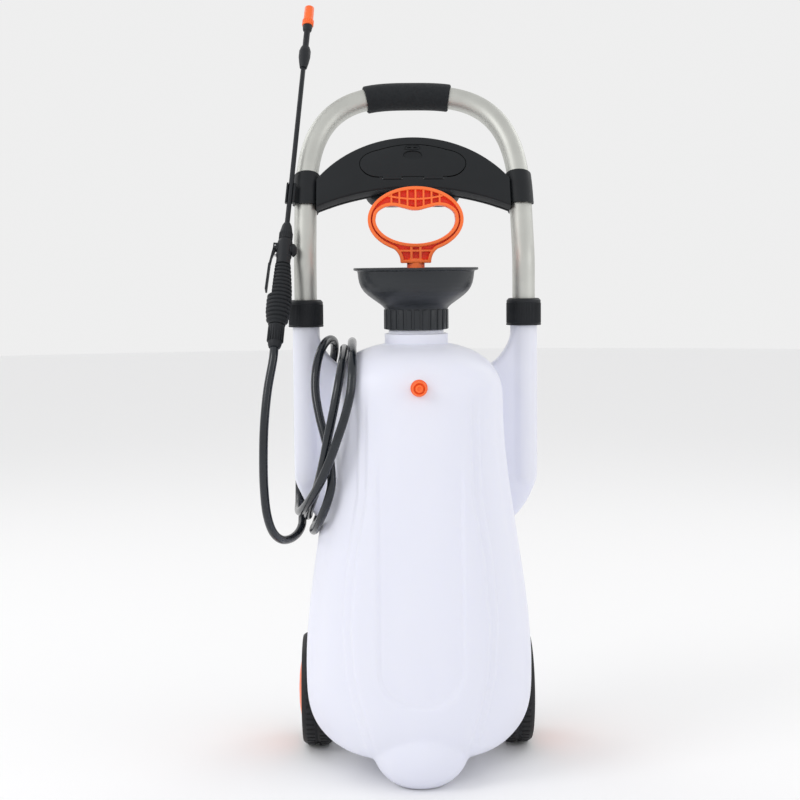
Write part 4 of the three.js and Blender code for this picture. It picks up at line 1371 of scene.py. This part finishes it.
@dataclass
class Pull:
    """The pump's D-shaped pull, an I-section frame stiffened by a lattice of ribs."""

    palette: Palette
    centre: float = 672.5
    half_width: float = 57.4
    half_height: float = 39.3
    half_depth: float = 10.9
    web: float = 2.6
    rim: float = 3.9
    rib_step: float = 9.6
    ribs: int = 7

    def outline(self) -> list[Flat]:
        """The frame's outer outline.

        Returns:
            The outline.
        """
        ring: list[Flat] = [(18.3, 620.5)]
        ring += [((1 - t) ** 2 * 18.3 + 2 * t * (1 - t) * 17.9 + t * t * 26,
                  (1 - t) ** 2 * 620.5 + 2 * t * (1 - t) * 631 + t * t * 637.4)
                 for t in np.linspace(0.15, 1, 8)]
        ring += [(self.half_width * math.cos(a), self.centre + self.half_height * math.sin(a))
                 for a in np.linspace(-1.05, math.pi / 2, 48)]
        return dense(softened(ring + [(-x, z) for x, z in reversed(ring[:-1])], 1.0, 2, True), 1.2)

    def opening(self) -> list[Flat]:
        """The outline of the hand's opening.

        Returns:
            The outline.
        """
        low = [(48 * math.cos(a), self.centre + 28.8 * math.sin(a))
               for a in np.linspace(math.pi, 2 * math.pi, 49)]
        given = [(46.9, 679), (44.4, 682.8), (37, 687.6), (27, 689.2), (14, 686.2), (6, 683.9), (0, 683.3)]
        high = softened([*given, *[(-x, z) for x, z in reversed(given[:-1])]], 6, 4)
        return dense(low + high, 1.2)

    def lattice(self) -> list[Shape]:
        """The ribs of the hand's grip and of the neck, before they are trimmed.

        Returns:
            The ribs.
        """
        depth = self.half_depth - 0.7
        post = slab((-1.1, -depth, 676), (1.1, depth, 712), 0.4)
        first = post.moved(Matrix.Translation((-(self.ribs - 1) / 2 * self.rib_step, 0, 0)))
        posts = ROW.copies(first, self.ribs, self.palette.pull, step=(self.rib_step, 0, 0))
        arc = [(x, 696.7 + 4 * (x / 33) ** 2) for x in np.linspace(-36, 36, 25)]
        band = [(x, z - 1.1) for x, z in arc] + [(x, z + 1.1) for x, z in reversed(arc)]
        beam = plate(band, (), -depth, depth, 0.4)
        legs = [slab((x - 1.4, -depth, 621), (x + 1.4, depth, 646), 0.4) for x in (-5.4, 5.4)]
        sills = [slab((-20, -depth, z), (20, depth, z + 2.4), 0.4) for z in (620.6, 634.0)]
        return [posts, beam, *legs, *sills]

    def build(self) -> None:
        """Makes the pull."""
        outer, inner = self.outline(), self.opening()
        d = self.half_depth
        core = plate(grown(outer, -1), [grown(inner, 1)], -self.web, self.web, 0.3)
        rim = plate(outer, [grown(outer, -self.rim)], -d, d, 0.8, 3)
        lip = plate(grown(inner, self.rim), [inner], -d, d, 0.8, 3)
        trimmed = solid(together([self.lattice()[0]]), add=self.lattice()[1:],
                        keep=[plate(grown(outer, -1), (), -d - 1, d + 1, 0.1)],
                        cut=[plate(grown(inner, 1), (), -d - 2, d + 2, 0.1)])
        sleeve = [(6.35, 583.4), (10.7, 583.4), (10.7, 626), (6.35, 626)]
        stem = lathe(softened(sleeve, 0.8, 3, True), 64, True)
        whole = together([core, rim, lip, trimmed, stem])
        finish_piece("pull", whole, DESIGN, self.palette.pull, Body.PULL, ["pump_handle"], 35)


# ---------------------------------------------------------------- small fittings


@dataclass
class Fittings:
    """The pressure relief valve, the outlet and the dip tube's visible relatives."""

    palette: Palette
    relief_z: float = 477.0

    def build(self) -> None:
        """Makes the fittings."""
        at = DESIGN @ Matrix.Translation((0, 0, self.relief_z)) @ ALONG_FRONT
        seat = [(3.4, 68), (6.9, 68), (6.9, 92.3), (9.9, 92.3), (9.9, 95), (3.4, 95)]
        finish_piece("relief_seat", lathe(softened(seat, 0.5, 2, True), 64, True), at, self.palette.orange,
                     Body.TANK, ["relief_body"])
        knob = [(0, 60), (5.5, 60), (5.5, 63.7), (3, 63.7), (3, 95.3), (7.8, 95.3), (8.3, 96.4), (8.3, 102.4),
                (7.7, 103.4), (6.5, 103.4), (6.1, 100.6), (4.9, 100.6), (4.5, 104.6), (2.4, 104.9),
                (2.0, 103.4),
                (0, 103.4)]
        ribs = ROUND.copies(slab((7.7, -0.5, 96.6), (8.6, 0.5, 102.0), 0.2), 24, self.palette.orange)
        finish_piece("relief_pull", together([lathe(softened(knob, 0.5), 64), ribs]), at, self.palette.orange,
                     Body.RELIEF, ["relief_knob"])
        path = smooth_path([(-62, 62, 470), (-62, 80, 470), (-62, 91, 470), (-63.6, 98.4, 470),
                            (-70, 101, 470), (-79, 101, 470)], 1.2)
        elbow = tube(path, 6.2, 32)
        flange = lathe(softened([(0, -93), (10, -93), (10, -90.3), (0, -90.3)], 0.6), 48).moved(
            Matrix.Translation((-62, 0, 470)) @ ALONG_FRONT)
        collar = lathe(softened([(0, -79), (7.5, -79), (7.5, -68), (0, -68)], 0.8), 48).moved(
            Matrix.Translation((0, 101, 470)) @ ALONG_X)
        finish_piece("outlet_bend", together([elbow, flange, collar]), DESIGN, self.palette.black, Body.TANK,
                     ["outlet_elbow"])
        at = DESIGN @ Matrix.Translation((-95.3, 101, 470)) @ ALONG_X
        nut = lathe(softened([(0, 0), (7.4, 0), (8.8, 3.6), (8.8, 16), (0, 16)], 0.8), 64)
        flats = ROUND.copies(slab((8.2, -0.9, 4.2), (9.35, 0.9, 15.5), 0.3), 16, self.palette.black)
        finish_piece("outlet_nut_ribbed", together([nut, flats]), at, self.palette.black, Body.TANK,
                     ["outlet_nut"])


# ---------------------------------------------------------------- handle


@dataclass
class Handle:
    """The telescopic handle: one bent tube, a foam grip, and a collar on each arm."""

    palette: Palette
    radius: float = 14.0
    bend: float = 60.0
    foot: float = 60.0
    rise: float = 176.6
    knurls: int = 64

    def arch(self, degrees: float) -> Point:
        """A point of the arch, by its angle from the left foot over the top.

        Args:
            degrees: The angle in degrees.

        Returns:
            The point.
        """
        a = math.radians(degrees)
        c, s = math.cos(a), math.sin(a)
        reach = (abs(c) ** 3 + abs(s) ** 3) ** (-1 / 3)
        return self.leaning(-LEG_X * c * reach, self.foot + self.rise * s * reach)

    def leaning(self, across: float, up: float) -> Point:
        """A point of the leaning plane, across it and up it from the bend."""
        return (across, LEG_Y + up * math.sin(LEAN_ANGLE), BEND_Z + up * math.cos(LEAN_ANGLE))

    def path(self) -> np.ndarray:
        """The tube's whole centreline.

        Returns:
            The centreline's points.
        """
        tangent = self.bend * math.tan(LEAN_ANGLE / 2)
        left = [(-LEG_X, LEG_Y, z) for z in (355, 440, 530, 580, BEND_Z - tangent)]
        for share in (0.25, 0.5, 0.75, 1):
            turn = LEAN_ANGLE * share
            left.append((-LEG_X, LEG_Y + self.bend * (1 - math.cos(turn)),
                         BEND_Z - tangent + self.bend * math.sin(turn)))
        left.append(self.leaning(-LEG_X, 38))
        arch = [self.arch(a) for a in np.linspace(0, 180, 61)]
        return smooth_path([*left, *arch, *[(-x, y, z) for x, y, z in reversed(left)]], 3.5)

    def build(self) -> None:
        """Makes the handle."""
        pipe = tube(self.path(), self.radius - 0.02, 56, 12.6)
        finish_piece("handle_pipe", pipe, DESIGN, self.palette.tube, Body.HANDLE,
                     ["handle_tube"], 45)
        path = smooth_path([self.arch(a) for a in np.linspace(65.7, 110.5, 24)], 1.0)
        ends = np.minimum(np.arange(len(path)), np.arange(len(path))[::-1])
        radii = 17.7 - 1.6 * (1 - np.clip(ends / 2.0, 0, 1)) ** 2
        finish_piece("foam_grip", tube(path, radii, 64, 15.3), DESIGN, self.palette.foam, Body.HANDLE,
                     ["handle_grip"], 50)
        for side in Side:
            at = DESIGN @ Matrix.Translation((side.value * LEG_X, LEG_Y, 0))
            collet = [(14.4, 563.3), (16.6, 563.3), (16.6, 569.4), (14.4, 569.4)]
            finish_piece(f"{side.word}_collet_ring", lathe(softened(collet, 0.4, 2, True), 64, True), at,
                         self.palette.black, Body.TANK, [f"{side.word}_collet"])
            outline = [(17.3, 542.6), (21.7, 542.6), (21.7, 544.6), (21.1, 545.2), (20.9, 570.6), (21.3, 571),
                       (21.2, 573.2), (18.8, 575.9), (14.5, 575.9), (14.5, 569.7), (17.3, 569.7)]
            ring = lathe(softened(outline, 0.5, 2, True), 96, True)
            rib = slab((20.4, -0.55, 545.4), (21.55, 0.55, 570.2), 0.25)
            ribs = ROUND.copies(rib, self.knurls, self.palette.black)
            finish_piece(f"{side.word}_lock_collar", together([ring, ribs]), at, self.palette.black,
                         Body[f"{side.name}_COLLAR"], [f"{side.word}_collar"])


# ---------------------------------------------------------------- bracket


@dataclass
class Bracket:
    """The arched bracket on the handle, with its compartment, its lid and the wand's clip."""

    palette: Palette
    half_span: float = 122.0
    front: float = -16.0
    skin: float = 3.0
    screws: tuple[Flat, ...] = ((-106, 76), (-106, 101), (106, 76), (106, 101))

    def crown(self, end: float, top: float, steps: int = 48) -> list[Flat]:
        """An arc over the middle, by the heights of its ends and its crown.

        Args:
            end: The height of the arc's ends.
            top: The height of its crown.
            steps: How many pieces it has.

        Returns:
            The arc's points.
        """
        sag = top - end
        radius = (self.half_span ** 2 + sag ** 2) / (2 * sag)
        reach = math.asin(self.half_span / radius)
        return [(radius * math.sin(a), top - radius * (1 - math.cos(a)))
                for a in np.linspace(reach, -reach, steps + 1)]

    def outline(self, inset: float = 0.0) -> list[Flat]:
        """The arched plate's outline, drawn in by an inset.

        Args:
            inset: How far it is drawn in.

        Returns:
            The outline.
        """
        top = self.crown(104.5 - inset, 165.6 - inset)
        low = self.crown(65 + inset, 92.2 + inset)
        return top + low[::-1]

    def lid_outline(self, inset: float, bottom: float) -> list[Flat]:
        """The lid's outline: a low arch with rounded ends.

        Args:
            inset: How far it is drawn in.
            bottom: The height of the lower edge.

        Returns:
            The outline.
        """
        half, shoulder, crown = 67 - inset, 146 - inset, 154 - inset
        right: list[Flat] = []

        def curve(*given: Flat) -> None:
            """Adds the points of one Bezier curve to the right half.

            Args:
                given: The curve's control points.
            """
            for t in np.linspace(0, 1, 14)[:-1]:
                level = [np.array(p, float) for p in given]
                while len(level) > 1:
                    level = [(1 - t) * a + t * b for a, b in zip(level, level[1:])]
                right.append((float(level[0][0]), float(level[0][1])))

        curve((half - 24, bottom), (half - 8, bottom), (half, bottom + 12), (half, 126))
        curve((half, 126), (half, 136), (half - 10, shoulder - 3), (half - 24, shoulder))
        curve((half - 24, shoulder), (20, crown), (0, crown))
        return [(0, bottom), *right, (0, crown), *[(-x, z) for x, z in reversed(right)]]

    def stretch(self, side: Side) -> np.ndarray:
        """The stretch of a leg that a clamp holds, in the leaning axes.

        Args:
            side: The side of the part.

        Returns:
            The points.
        """
        handle = Handle(self.palette)
        points = [(LEG_X, 0, 30), (LEG_X, 0, 45)]
        for degrees in (0, 5, 10, 15, 20, 25, 30):
            a = math.radians(degrees)
            reach = (math.cos(a) ** 3 + math.sin(a) ** 3) ** (-1 / 3)
            points.append((LEG_X * math.cos(a) * reach, 0, handle.foot + handle.rise * math.sin(a) * reach))
        return smooth_path([(side.value * x, y, z) for x, y, z in points], 2.0)

    def sleeves(self, y0: float, y1: float) -> list[Shape]:
        """The clamps' halves within a range of depth.

        Args:
            y0: The front limit of depth.
            y1: The rear limit of depth.

        Returns:
            The halves.
        """
        made = []
        for side in Side:
            x = side.value * LEG_X
            made.append(solid(tube(self.stretch(side), 16.5, 48),
                              keep=[slab((x - 21, y0, 66), (x + 21, y1, 117), 0.1)]))
        return made

    def bores(self) -> list[Shape]:
        """The clamps' bores."""
        return [tube(self.stretch(side), 14.7, 48) for side in Side]

    def wedge(self) -> Shape:
        """The slanting cut under the clamps' fronts.

        Returns:
            The cut.
        """
        block = together([slab((low, -40, 0), (high, 40, 40), 0.1)
                          for low, high in ((-200, -121.6), (121.6, 200))])
        return block.moved(Matrix.Translation((0, 0, 33)) @ Matrix.Rotation(math.radians(20), 4, "X"))

    def clip(self) -> tuple[list[Shape], list[Shape]]:
        """The wand's clip: what is added, and what is cut from it.

        Returns:
            The added shapes and the cut shapes.
        """
        at = Matrix.Translation((-153.8, -18, 82.9)) @ Matrix.Rotation(WAND_TILT, 4, "Y")
        jaw = slab((-5.6, -3, -25), (6.4, 8, 14), 1.0).moved(at)
        neck = slab((-151, -13.5, 70), (-137, -0.4, 94), 0.8)
        slot = slab((-3.5, -9, -28), (3.5, 0.2, 17), 0.2).moved(at)
        groove = lathe([(0, -28), (3.5, -28), (3.5, 17), (0, 17)], 32).moved(at)
        return [jaw, neck], [slot, groove]

    def front_shell(self) -> Shape:
        """The front plate with its clamps, ears and clip.

        Returns:
            The shape.
        """
        outer = plate(self.outline(), (), self.front, -0.3, 2.2, 4)
        inside = plate(self.outline(3), (), self.front + self.skin, 2, 0.4)
        opening = plate(self.lid_outline(-0.6, 105.7), (), self.front - 2, self.front + self.skin + 2, 0.2)
        notches = [slab((a, self.front - 2, 102.5), (b, self.front + self.skin + 2, 108), 0.2)
                   for a, b in ((-38.4, -13.6), (13.6, 38.4))]
        added, cut = self.clip()
        bosses = [lathe([(0, 0.3), (2.7, 0.3), (2.7, 14.5), (0, 14.5)], 24).moved(
            Matrix.Translation((x, 0, z)) @ ALONG_FRONT) for x, z in self.screws]
        ears = [slab((a, self.front + 0.3, 99.9), (b, self.front + self.skin, 106.7), 0.3)
                for a, b in ((-42.5, -38.5), (-13.5, 13.5), (38.5, 42.5))]
        return solid(solid(outer, cut=[inside, opening, *notches]),
                     add=[*self.sleeves(-17, -0.3), *bosses, *added, *ears],
                     cut=[*self.bores(), self.wedge(), *cut])

    def rear_shell(self) -> Shape:
        """The rear plate with the compartment's tub.

        Returns:
            The shape.
        """
        back = plate(self.outline(), (), 0.3, 3.2, 0.6)
        tub = plate(self.lid_outline(3, 82.5), (), 0.3, 20, 2.0, 3)
        cavity = plate(self.lid_outline(5.6, 97.5), (), -2, 17.4, 0.8)
        ribs = [slab((x - 1, 3, 100), (x + 1, 6, 104 + (120 - abs(x)) * 0.3), 0.4)
                for x in (-88, -78, 78, 88)]
        return solid(back, add=[tub, *ribs, *self.sleeves(0.3, 17)],
                     cut=[cavity, *self.bores(), self.wedge()])

    def lid(self) -> Shape:
        """The lid with its thumb tab, its oval dimple and its knuckles.

        Returns:
            The shape.
        """
        skin = plate(self.lid_outline(0.1, 107.2), (), self.front + 0.05, self.front + 2.4, 0.5)
        oval = Matrix.Translation((0, self.front, 138.6)) @ ALONG_FRONT @ Matrix.Diagonal((1.15, 0.62, 1, 1))
        dimple = lathe([(0, -3.0), (6, -2.8), (9.6, -1.9), (11, 0.6), (0, 0.6)], 64).moved(oval)
        cup = lathe([(0, -4.4), (12, -4.0), (12.6, -1.5), (0, -1.5)], 64).moved(oval)
        notch = plate(softened([(-11, 146.2), (11, 146.2), (8, 152.4), (-8, 152.4)], 1.5, 3, True),
                      [softened([(-9.6, 147), (9.6, 147), (7, 151.6), (-7, 151.6)], 1.2, 3, True)],
                      self.front - 1, self.front + 0.8, 0.1)
        slots = [slab((x - 2.6, self.front - 1, 148.4), (x + 2.6, self.front + 1.4, 150.2), 0.2)
                 for x in (-3.9, 3.9)]
        knuckles = [lathe(softened([(0, a), (1.7, a), (1.7, b), (0, b)], 0.3), 24).moved(
            Matrix.Translation((0, -14.3, 104.9)) @ ALONG_X) for a, b in ((-38, -14), (14, 38))]
        arms = [slab((a, self.front + 0.2, 104.9), (b, self.front + 2.4, 108.2), 0.3)
                for a, b in ((-38, -14), (14, 38))]
        base = solid(skin, add=[cup], cut=[dimple, notch, *slots])
        return together([base, *arms, *knuckles])

    def build(self) -> None:
        """Makes the bracket, its lid and its screws."""
        look = self.palette.plate
        finish_piece("bracket_face", self.front_shell(), LEAN, look, Body.HANDLE,
                     ["bracket_front"], 40)
        finish_piece("bracket_back", self.rear_shell(), LEAN, look, Body.HANDLE,
                     ["bracket_rear"], 40)
        finish_piece("lid_panel", self.lid(), LEAN, look, Body.LID, ["compartment_lid"], 40)
        turned = [(0, -8), (1.3, -8), (1.3, 3.5), (3.3, 3.5), (3.3, 4.8), (2.4, 5.6), (0, 5.6)]
        head = lathe(softened(turned, 0.3), 32)
        cross = [slab((-2, -0.4, 4.7), (2, 0.4, 6), 0.1), slab((-0.4, -2, 4.7), (0.4, 2, 6), 0.1)]
        screw = solid(head, cut=cross).moved(Matrix.Rotation(math.radians(-90), 4, "X"))
        first = screw.moved(Matrix.Translation((-106, 0, 76)))
        left = ROW.copies(first, 2, self.palette.steel, step=(0, 0, 25))
        both = together([left, left.moved(Matrix.Translation((212, 0, 0)))])
        finish_piece("bracket_screws", both, LEAN, self.palette.steel, Body.HANDLE,
                     [f"bracket_screw_{i}" for i in range(1, 5)])


# ---------------------------------------------------------------- spray wand


@dataclass
class Wand:
    """The spray wand: nozzle, lance, trigger valve, ribbed grip and hose nut."""

    palette: Palette
    rings: int = 15
    ring_pitch: float = 5.2

    def turned(self, name: str, outline: Sequence[Flat], finish: bpy.types.Material, node: str,
               body: Body = Body.HANDLE, slot: Slot = Slot.BLACK, extra: Sequence[Shape] = (),
               loop: bool = False, corner: float = 0.6) -> None:
        """A turned piece on the wand's axis, with more shapes on it."""
        shape = together([lathe(softened(outline, corner, 2, loop), 64, loop), *extra])
        finish_piece(name, shape, WAND, finish, body, [node])

    def bellows(self) -> Shape:
        """The soft grip, with a ring at every step along it.

        Returns:
            The shape.
        """
        outline: list[Flat] = [(7.2, -101.5), (9.6, -101.5)]
        widths = [(-101.3, 9.7), (-121, 12.4), (-137, 14.4), (-152, 15.3), (-166, 15.1),
                  (-179, 13), (-183.3, 10.8)]
        heights, radii = zip(*reversed(widths))
        for k in range(self.rings):
            top = -102.2 - k * self.ring_pitch
            for share, depth in ((0.05, 1.9), (0.2, 0.5), (0.35, 0), (0.6, 0), (0.75, 0.5), (0.92, 1.9)):
                z = top - share * self.ring_pitch
                outline.append((float(np.interp(z, heights, radii)) - depth, z))
        outline += [(10.4, -181.8), (10.4, -183.2), (7.2, -183.2)]
        body = lathe(outline, 64, True)
        return solid(body, cut=[slab((-22, -20, -145), (-9.2, 20, -100), 0.3)])

    def valve(self) -> None:
        """The trigger valve's body, cap and lever, with a hole for the stem."""
        look = self.palette.black
        barrel = lathe(softened([(0, -101), (8.8, -101), (8.8, -92), (9.6, -90), (9.6, -72), (8.4, -66.8),
                                 (0, -66.8)], 0.7), 64)
        ears = [slab((-14, y, -81.5), (-4, y + 2, -73.5), 0.5) for y in (-5.2, 3.2)]
        boss = lathe(softened([(0, 0), (6.6, 0), (6.6, 9.8), (0, 9.8)], 0.5), 48).moved(
            Matrix.Translation((0, 0, -80.5)) @ ALONG_X)
        pin_hole = lathe([(0, -8), (1.4, -8), (1.4, 8), (0, 8)], 24).moved(
            Matrix.Translation((-11.5, 0, -77.5)) @ ALONG_FRONT)
        stem_hole = lathe([(0, -12), (2, -12), (2, -3.4), (0, -3.4)], 24).moved(
            Matrix.Translation((0, 0, -88.5)) @ ALONG_X)
        finish_piece("valve_barrel", solid(barrel, add=[*ears, boss], cut=[pin_hole, stem_hole]), WAND, look,
                     Body.HANDLE, ["valve_body"])
        cap = lathe(softened([(0, 10.1), (8.2, 10.1), (8.2, 11.8), (4.4, 15.2), (0, 15.6)], 0.5), 48)
        finish_piece("valve_plug", cap, WAND @ Matrix.Translation((0, 0, -80.5)) @ ALONG_X, look,
                     Body.HANDLE, ["valve_cap"])
        lever = [(-10.4, -74), (-13.6, -74), (-17.8, -104), (-18.6, -138), (-16.2, -138), (-15.2, -104),
                 (-13.9, -92.5), (-10.4, -81.5)]
        blade = plate(softened(lever, 0.9, 2, True), (), -2.9, 2.9, 0.5)
        pad = plate(softened([(-15.4, -102), (-17.6, -102), (-18.6, -138), (-16.2, -138)], 0.7, 2, True), (),
                    -6, 6, 0.5)
        finish_piece("trigger_lever", solid(blade, add=[pad], cut=[pin_hole]), WAND, look, Body.TRIGGER,
                     ["trigger"])

    def build(self) -> None:
        """Makes the wand."""
        black, orange = self.palette.black, self.palette.orange
        self.turned("lance", [(2.2, -45.6), (3.1, -45.6), (3.1, 189.6), (2.2, 189.6)], black, "lance_tube",
                    loop=True, corner=0.3)
        self.turned("nozzle_neck", [(0, 190), (3.4, 190), (3.4, 187), (4.6, 187), (6.2, 195), (7.6, 204),
                                    (7.6, 213), (5.6, 219.4), (4.05, 220), (4.05, 244), (5.6, 246),
                                    (6.6, 253),
                                    (0, 253)], black, "nozzle_elbow")
        rib = slab((6.9, -0.6, 254), (7.55, 0.6, 261.6), 0.2)
        ribs = ROUND.copies(rib, 18, orange)
        tip = [(0, 253.4), (7.2, 253.4), (7.2, 262), (6.4, 264), (6.2, 282.2), (4.4, 282.8),
               (3, 281), (0, 281)]
        self.turned("nozzle_tip", tip, orange, "nozzle_cap", Body.NOZZLE, Slot.ORANGE, [ribs])
        grip = ROUND.copies(slab((7.9, -0.6, -65.8), (8.55, 0.6, -57.5), 0.2), 20, black)
        self.turned("lance_cone", [(0, -66.4), (8.2, -66.4), (8.0, -57), (6, -47), (4, -43), (3.4, -43),
                                   (3.4, -46), (0, -46)], black, "lance_nut", extra=[grip])
        self.turned("grip_core", [(0, -183.6), (6.9, -183.6), (6.9, -101.3), (0, -101.3)], black, "grip_tube")
        teeth = ROUND.copies(slab((8.6, -0.6, -205), (10.1, 0.6, -186), 0.3), 20, black)
        self.turned("hose_cone", [(0, -213), (7, -213), (8.2, -209), (9.9, -186), (9.9, -183.9), (0, -183.9)],
                    black, "hose_nut", extra=[teeth])
        finish_piece("ribbed_grip", self.bellows(), WAND, self.palette.rubber, Body.HANDLE,
                     ["grip_sleeve"], 50)
        self.valve()


# ---------------------------------------------------------------- hose


HOSE_ROUTE: tuple[Point, ...] = (
    (-95.6, 101, 470), (-106, 101, 470), (-121, 101, 467.7), (-134, 101, 460.5), (-142.8, 101, 450),
    (-147.6, 101, 436), (-149, 100, 418), (-148.8, 95, 390), (-148, 89.5, 362), (-148, 84, 343),
    (-147.8, 75, 329.5), (-147.5, 62, 321), (-147.5, 46, 316.5), (-145.3, 17, 317),
    (-139.5, -12, 324.5), (-129.5, -41, 340), (-117, -64, 363), (-105.5, -76, 389), (-95.5, -80, 416),
    (-86, -80, 444), (-79.2, -77, 472), (-77.2, -68, 495), (-77, -52, 510.5), (-77.5, -30, 519),
    (-78, 8, 524.5), (-78, 40, 524.5), (-78, 58, 521), (-78.8, 71.5, 513), (-80.3, 80, 501),
    (-82.8, 84, 488), (-86, 83, 474), (-91, 84, 458), (-98.5, 91.5, 438), (-108.5, 96, 414),
    (-116, 94.5, 390), (-120.5, 91, 366), (-124, 89.5, 344), (-128.2, 84.5, 327), (-132.4, 76, 315.5),
    (-135.6, 64, 308.8), (-136.6, 51, 306.3), (-135.2, 33, 309.3), (-132.7, 8, 319.5),
    (-128, -16, 334), (-120.5, -43, 357), (-112.8, -61, 387), (-106, -68, 420), (-99, -66.5, 452),
    (-93.5, -59, 480), (-90, -44, 499.5), (-88, -21, 509.5), (-87.5, 8, 515), (-88, 36, 516.5),
    (-88.7, 54, 512.5), (-90, 66.5, 505.5), (-92, 75.5, 496.5), (-95, 80.5, 485), (-99.8, 82, 468),
    (-105.5, 80, 437), (-110, 81, 395), (-111.5, 85, 352), (-115.3, 86, 328), (-120.3, 79.5, 310.5),
    (-124.2, 69.5, 300.5), (-127, 56, 294), (-128.3, 38, 293), (-128, 12, 294), (-124.5, -18, 301),
    (-118, -44, 316), (-109.5, -59, 337), (-103.3, -60, 360), (-104.5, -51, 386), (-110, -42, 412),
    (-117, -31, 438), (-122, -19, 466), (-121.8, -9, 490), (-117.5, 4, 511), (-111.5, 21, 523.5),
    (-105.5, 38, 527.5), (-101.5, 54, 524.5), (-100.5, 67, 517), (-101.5, 76.5, 507),
    (-105.5, 83, 492), (-112.5, 85, 474), (-121, 85, 447), (-129, 86, 415), (-134.8, 88, 380),
    (-136, 89, 346), (-140.6, 84.5, 321), (-144, 73.5, 303), (-144.5, 60, 292.5), (-149, 44, 285),
    (-157.5, 24, 281.5), (-167.5, 2, 285), (-176, -18, 298), (-181.5, -35, 322), (-183.6, -46, 356),
    (-183.5, -50, 392), (-182, -47, 432), (-178, -38, 472), (-171.5, -28.4, 508.5),
    (-170.4, -21.8, 520.8),
)


@dataclass
class Hose:
    """The delivery hose, from the tank's outlet nut round its coil to the wand."""

    palette: Palette
    radius: float = 5.25
    length: float = 2.465

    def build(self) -> None:
        """Makes the hose as a tube along its route."""
        path = smooth_path(HOSE_ROUTE, 4.0)
        hose = finish_piece("delivery_hose", tube(path, self.radius, 20), DESIGN, self.palette.hose,
                            None, ["hose"], 60)
        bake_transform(hose)


# ---------------------------------------------------------------- studio


@dataclass
class Studio:
    """A pale floor, soft lights and the camera."""

    camera_at: Point = (-0.0521, -1.7414, 0.622)
    lens: float = 67.5

    def camera(self) -> None:
        """Places the camera."""
        data = bpy.data.cameras.new("camera")
        data.lens, data.sensor_width = self.lens, 36.0
        data.dof.use_dof = False
        thing = bpy.data.objects.new("camera", data)
        bpy.context.scene.collection.objects.link(thing)
        turn = (Matrix.Rotation(math.radians(-1.0), 4, "Z") @ Matrix.Rotation(math.radians(84.74), 4, "X")
                @ Matrix.Rotation(math.radians(-0.5), 4, "Z"))
        thing.matrix_world = Matrix.Translation(self.camera_at) @ turn
        bpy.context.scene.camera = thing

    def lamp(self, name: str, at: Point, towards: Point, size: float, power: float) -> None:
        """Adds one soft area light.

        Args:
            name: The light's name.
            at: Its place.
            towards: The point that it faces.
            size: Its width and height in metres.
            power: Its power in watts.
        """
        data = bpy.data.lights.new(name, "AREA")
        data.shape, data.size, data.energy = "SQUARE", size, power
        thing = bpy.data.objects.new(name, data)
        bpy.context.scene.collection.objects.link(thing)
        facing = (Vector(towards) - Vector(at)).to_track_quat("-Z", "Y").to_matrix().to_4x4()
        thing.matrix_world = Matrix.Translation(at) @ facing

    def floor(self) -> None:
        """Lays the floor."""
        surface = Surface("studio_floor")
        surface.put("Base Color", (0.93, 0.93, 0.935))
        surface.put("Roughness", surface.spread(surface.noise(surface.place(), 30.0), 0.75, 0.85))
        shape = lathe([(0, 0), (9000, 0)], 96)
        thing = loose("floor", shape)
        thing.data.transform(Matrix.Scale(0.001, 4))
        if thing.data.polygons[0].normal.z < 0:
            thing.data.flip_normals()
        thing.data.materials.append(surface.material)

    def build(self) -> None:
        """Sets up the camera, the lights, the sky and the floor."""
        self.camera()
        self.floor()
        world = bpy.data.worlds.new("studio")
        bpy.context.scene.world = world
        world.use_nodes = True
        sky = world.node_tree.nodes["Background"]
        sky.inputs["Color"].default_value = (1, 1, 1, 1)
        sky.inputs["Strength"].default_value = 0.86
        self.lamp("key", (-2.0, -1.2, 1.9), (0, 0, 0.45), 1.0, 15)
        self.lamp("fill", (2.1, -1.0, 1.3), (0, 0, 0.5), 1.2, 5)
        self.lamp("rim_left", (-1.6, 1.4, 1.9), (0, 0, 0.6), 1.0, 5)
        self.lamp("rim_right", (1.6, 1.4, 1.9), (0, 0, 0.6), 1.0, 5)
        bpy.context.scene.view_settings.view_transform = "Standard"


# ---------------------------------------------------------------- assembly


def dress_hidden(palette: Palette) -> None:
    """Gives the inner pieces, which keep their CAD shape, their finishes.

    Args:
        palette: The finishes.
    """
    for node, look in {
        "axle": palette.steel, "left_push_nut": palette.steel, "right_push_nut": palette.steel,
        "neck_gasket": palette.rubber, "pump_seal": palette.rubber, "check_valve": palette.rubber,
        "piston": palette.black, "piston_ring": palette.rubber, "dip_tube": palette.clear,
        "dip_strainer": palette.black, "left_tube_plug": palette.black,
        "right_tube_plug": palette.black, "lid_hinge_pin": palette.steel,
        "trigger_pin": palette.steel, "valve_stem": palette.steel,
    }.items():
        dress(node, look)


def main() -> None:
    """Builds the whole sprayer."""
    logging.basicConfig(level=logging.INFO, format="%(name)s: %(message)s")
    Studio().build()
    palette = Palette()
    Hose(palette).build()
    Tank(palette).build()
    for side in Side:
        Wheel(palette, side).build()
    for assembly in (Funnel, Pump, Pull, Fittings, Handle, Bracket, Wand):
        assembly(palette).build()
    dress_hidden(palette)


if __name__ == "__main__":
    main()
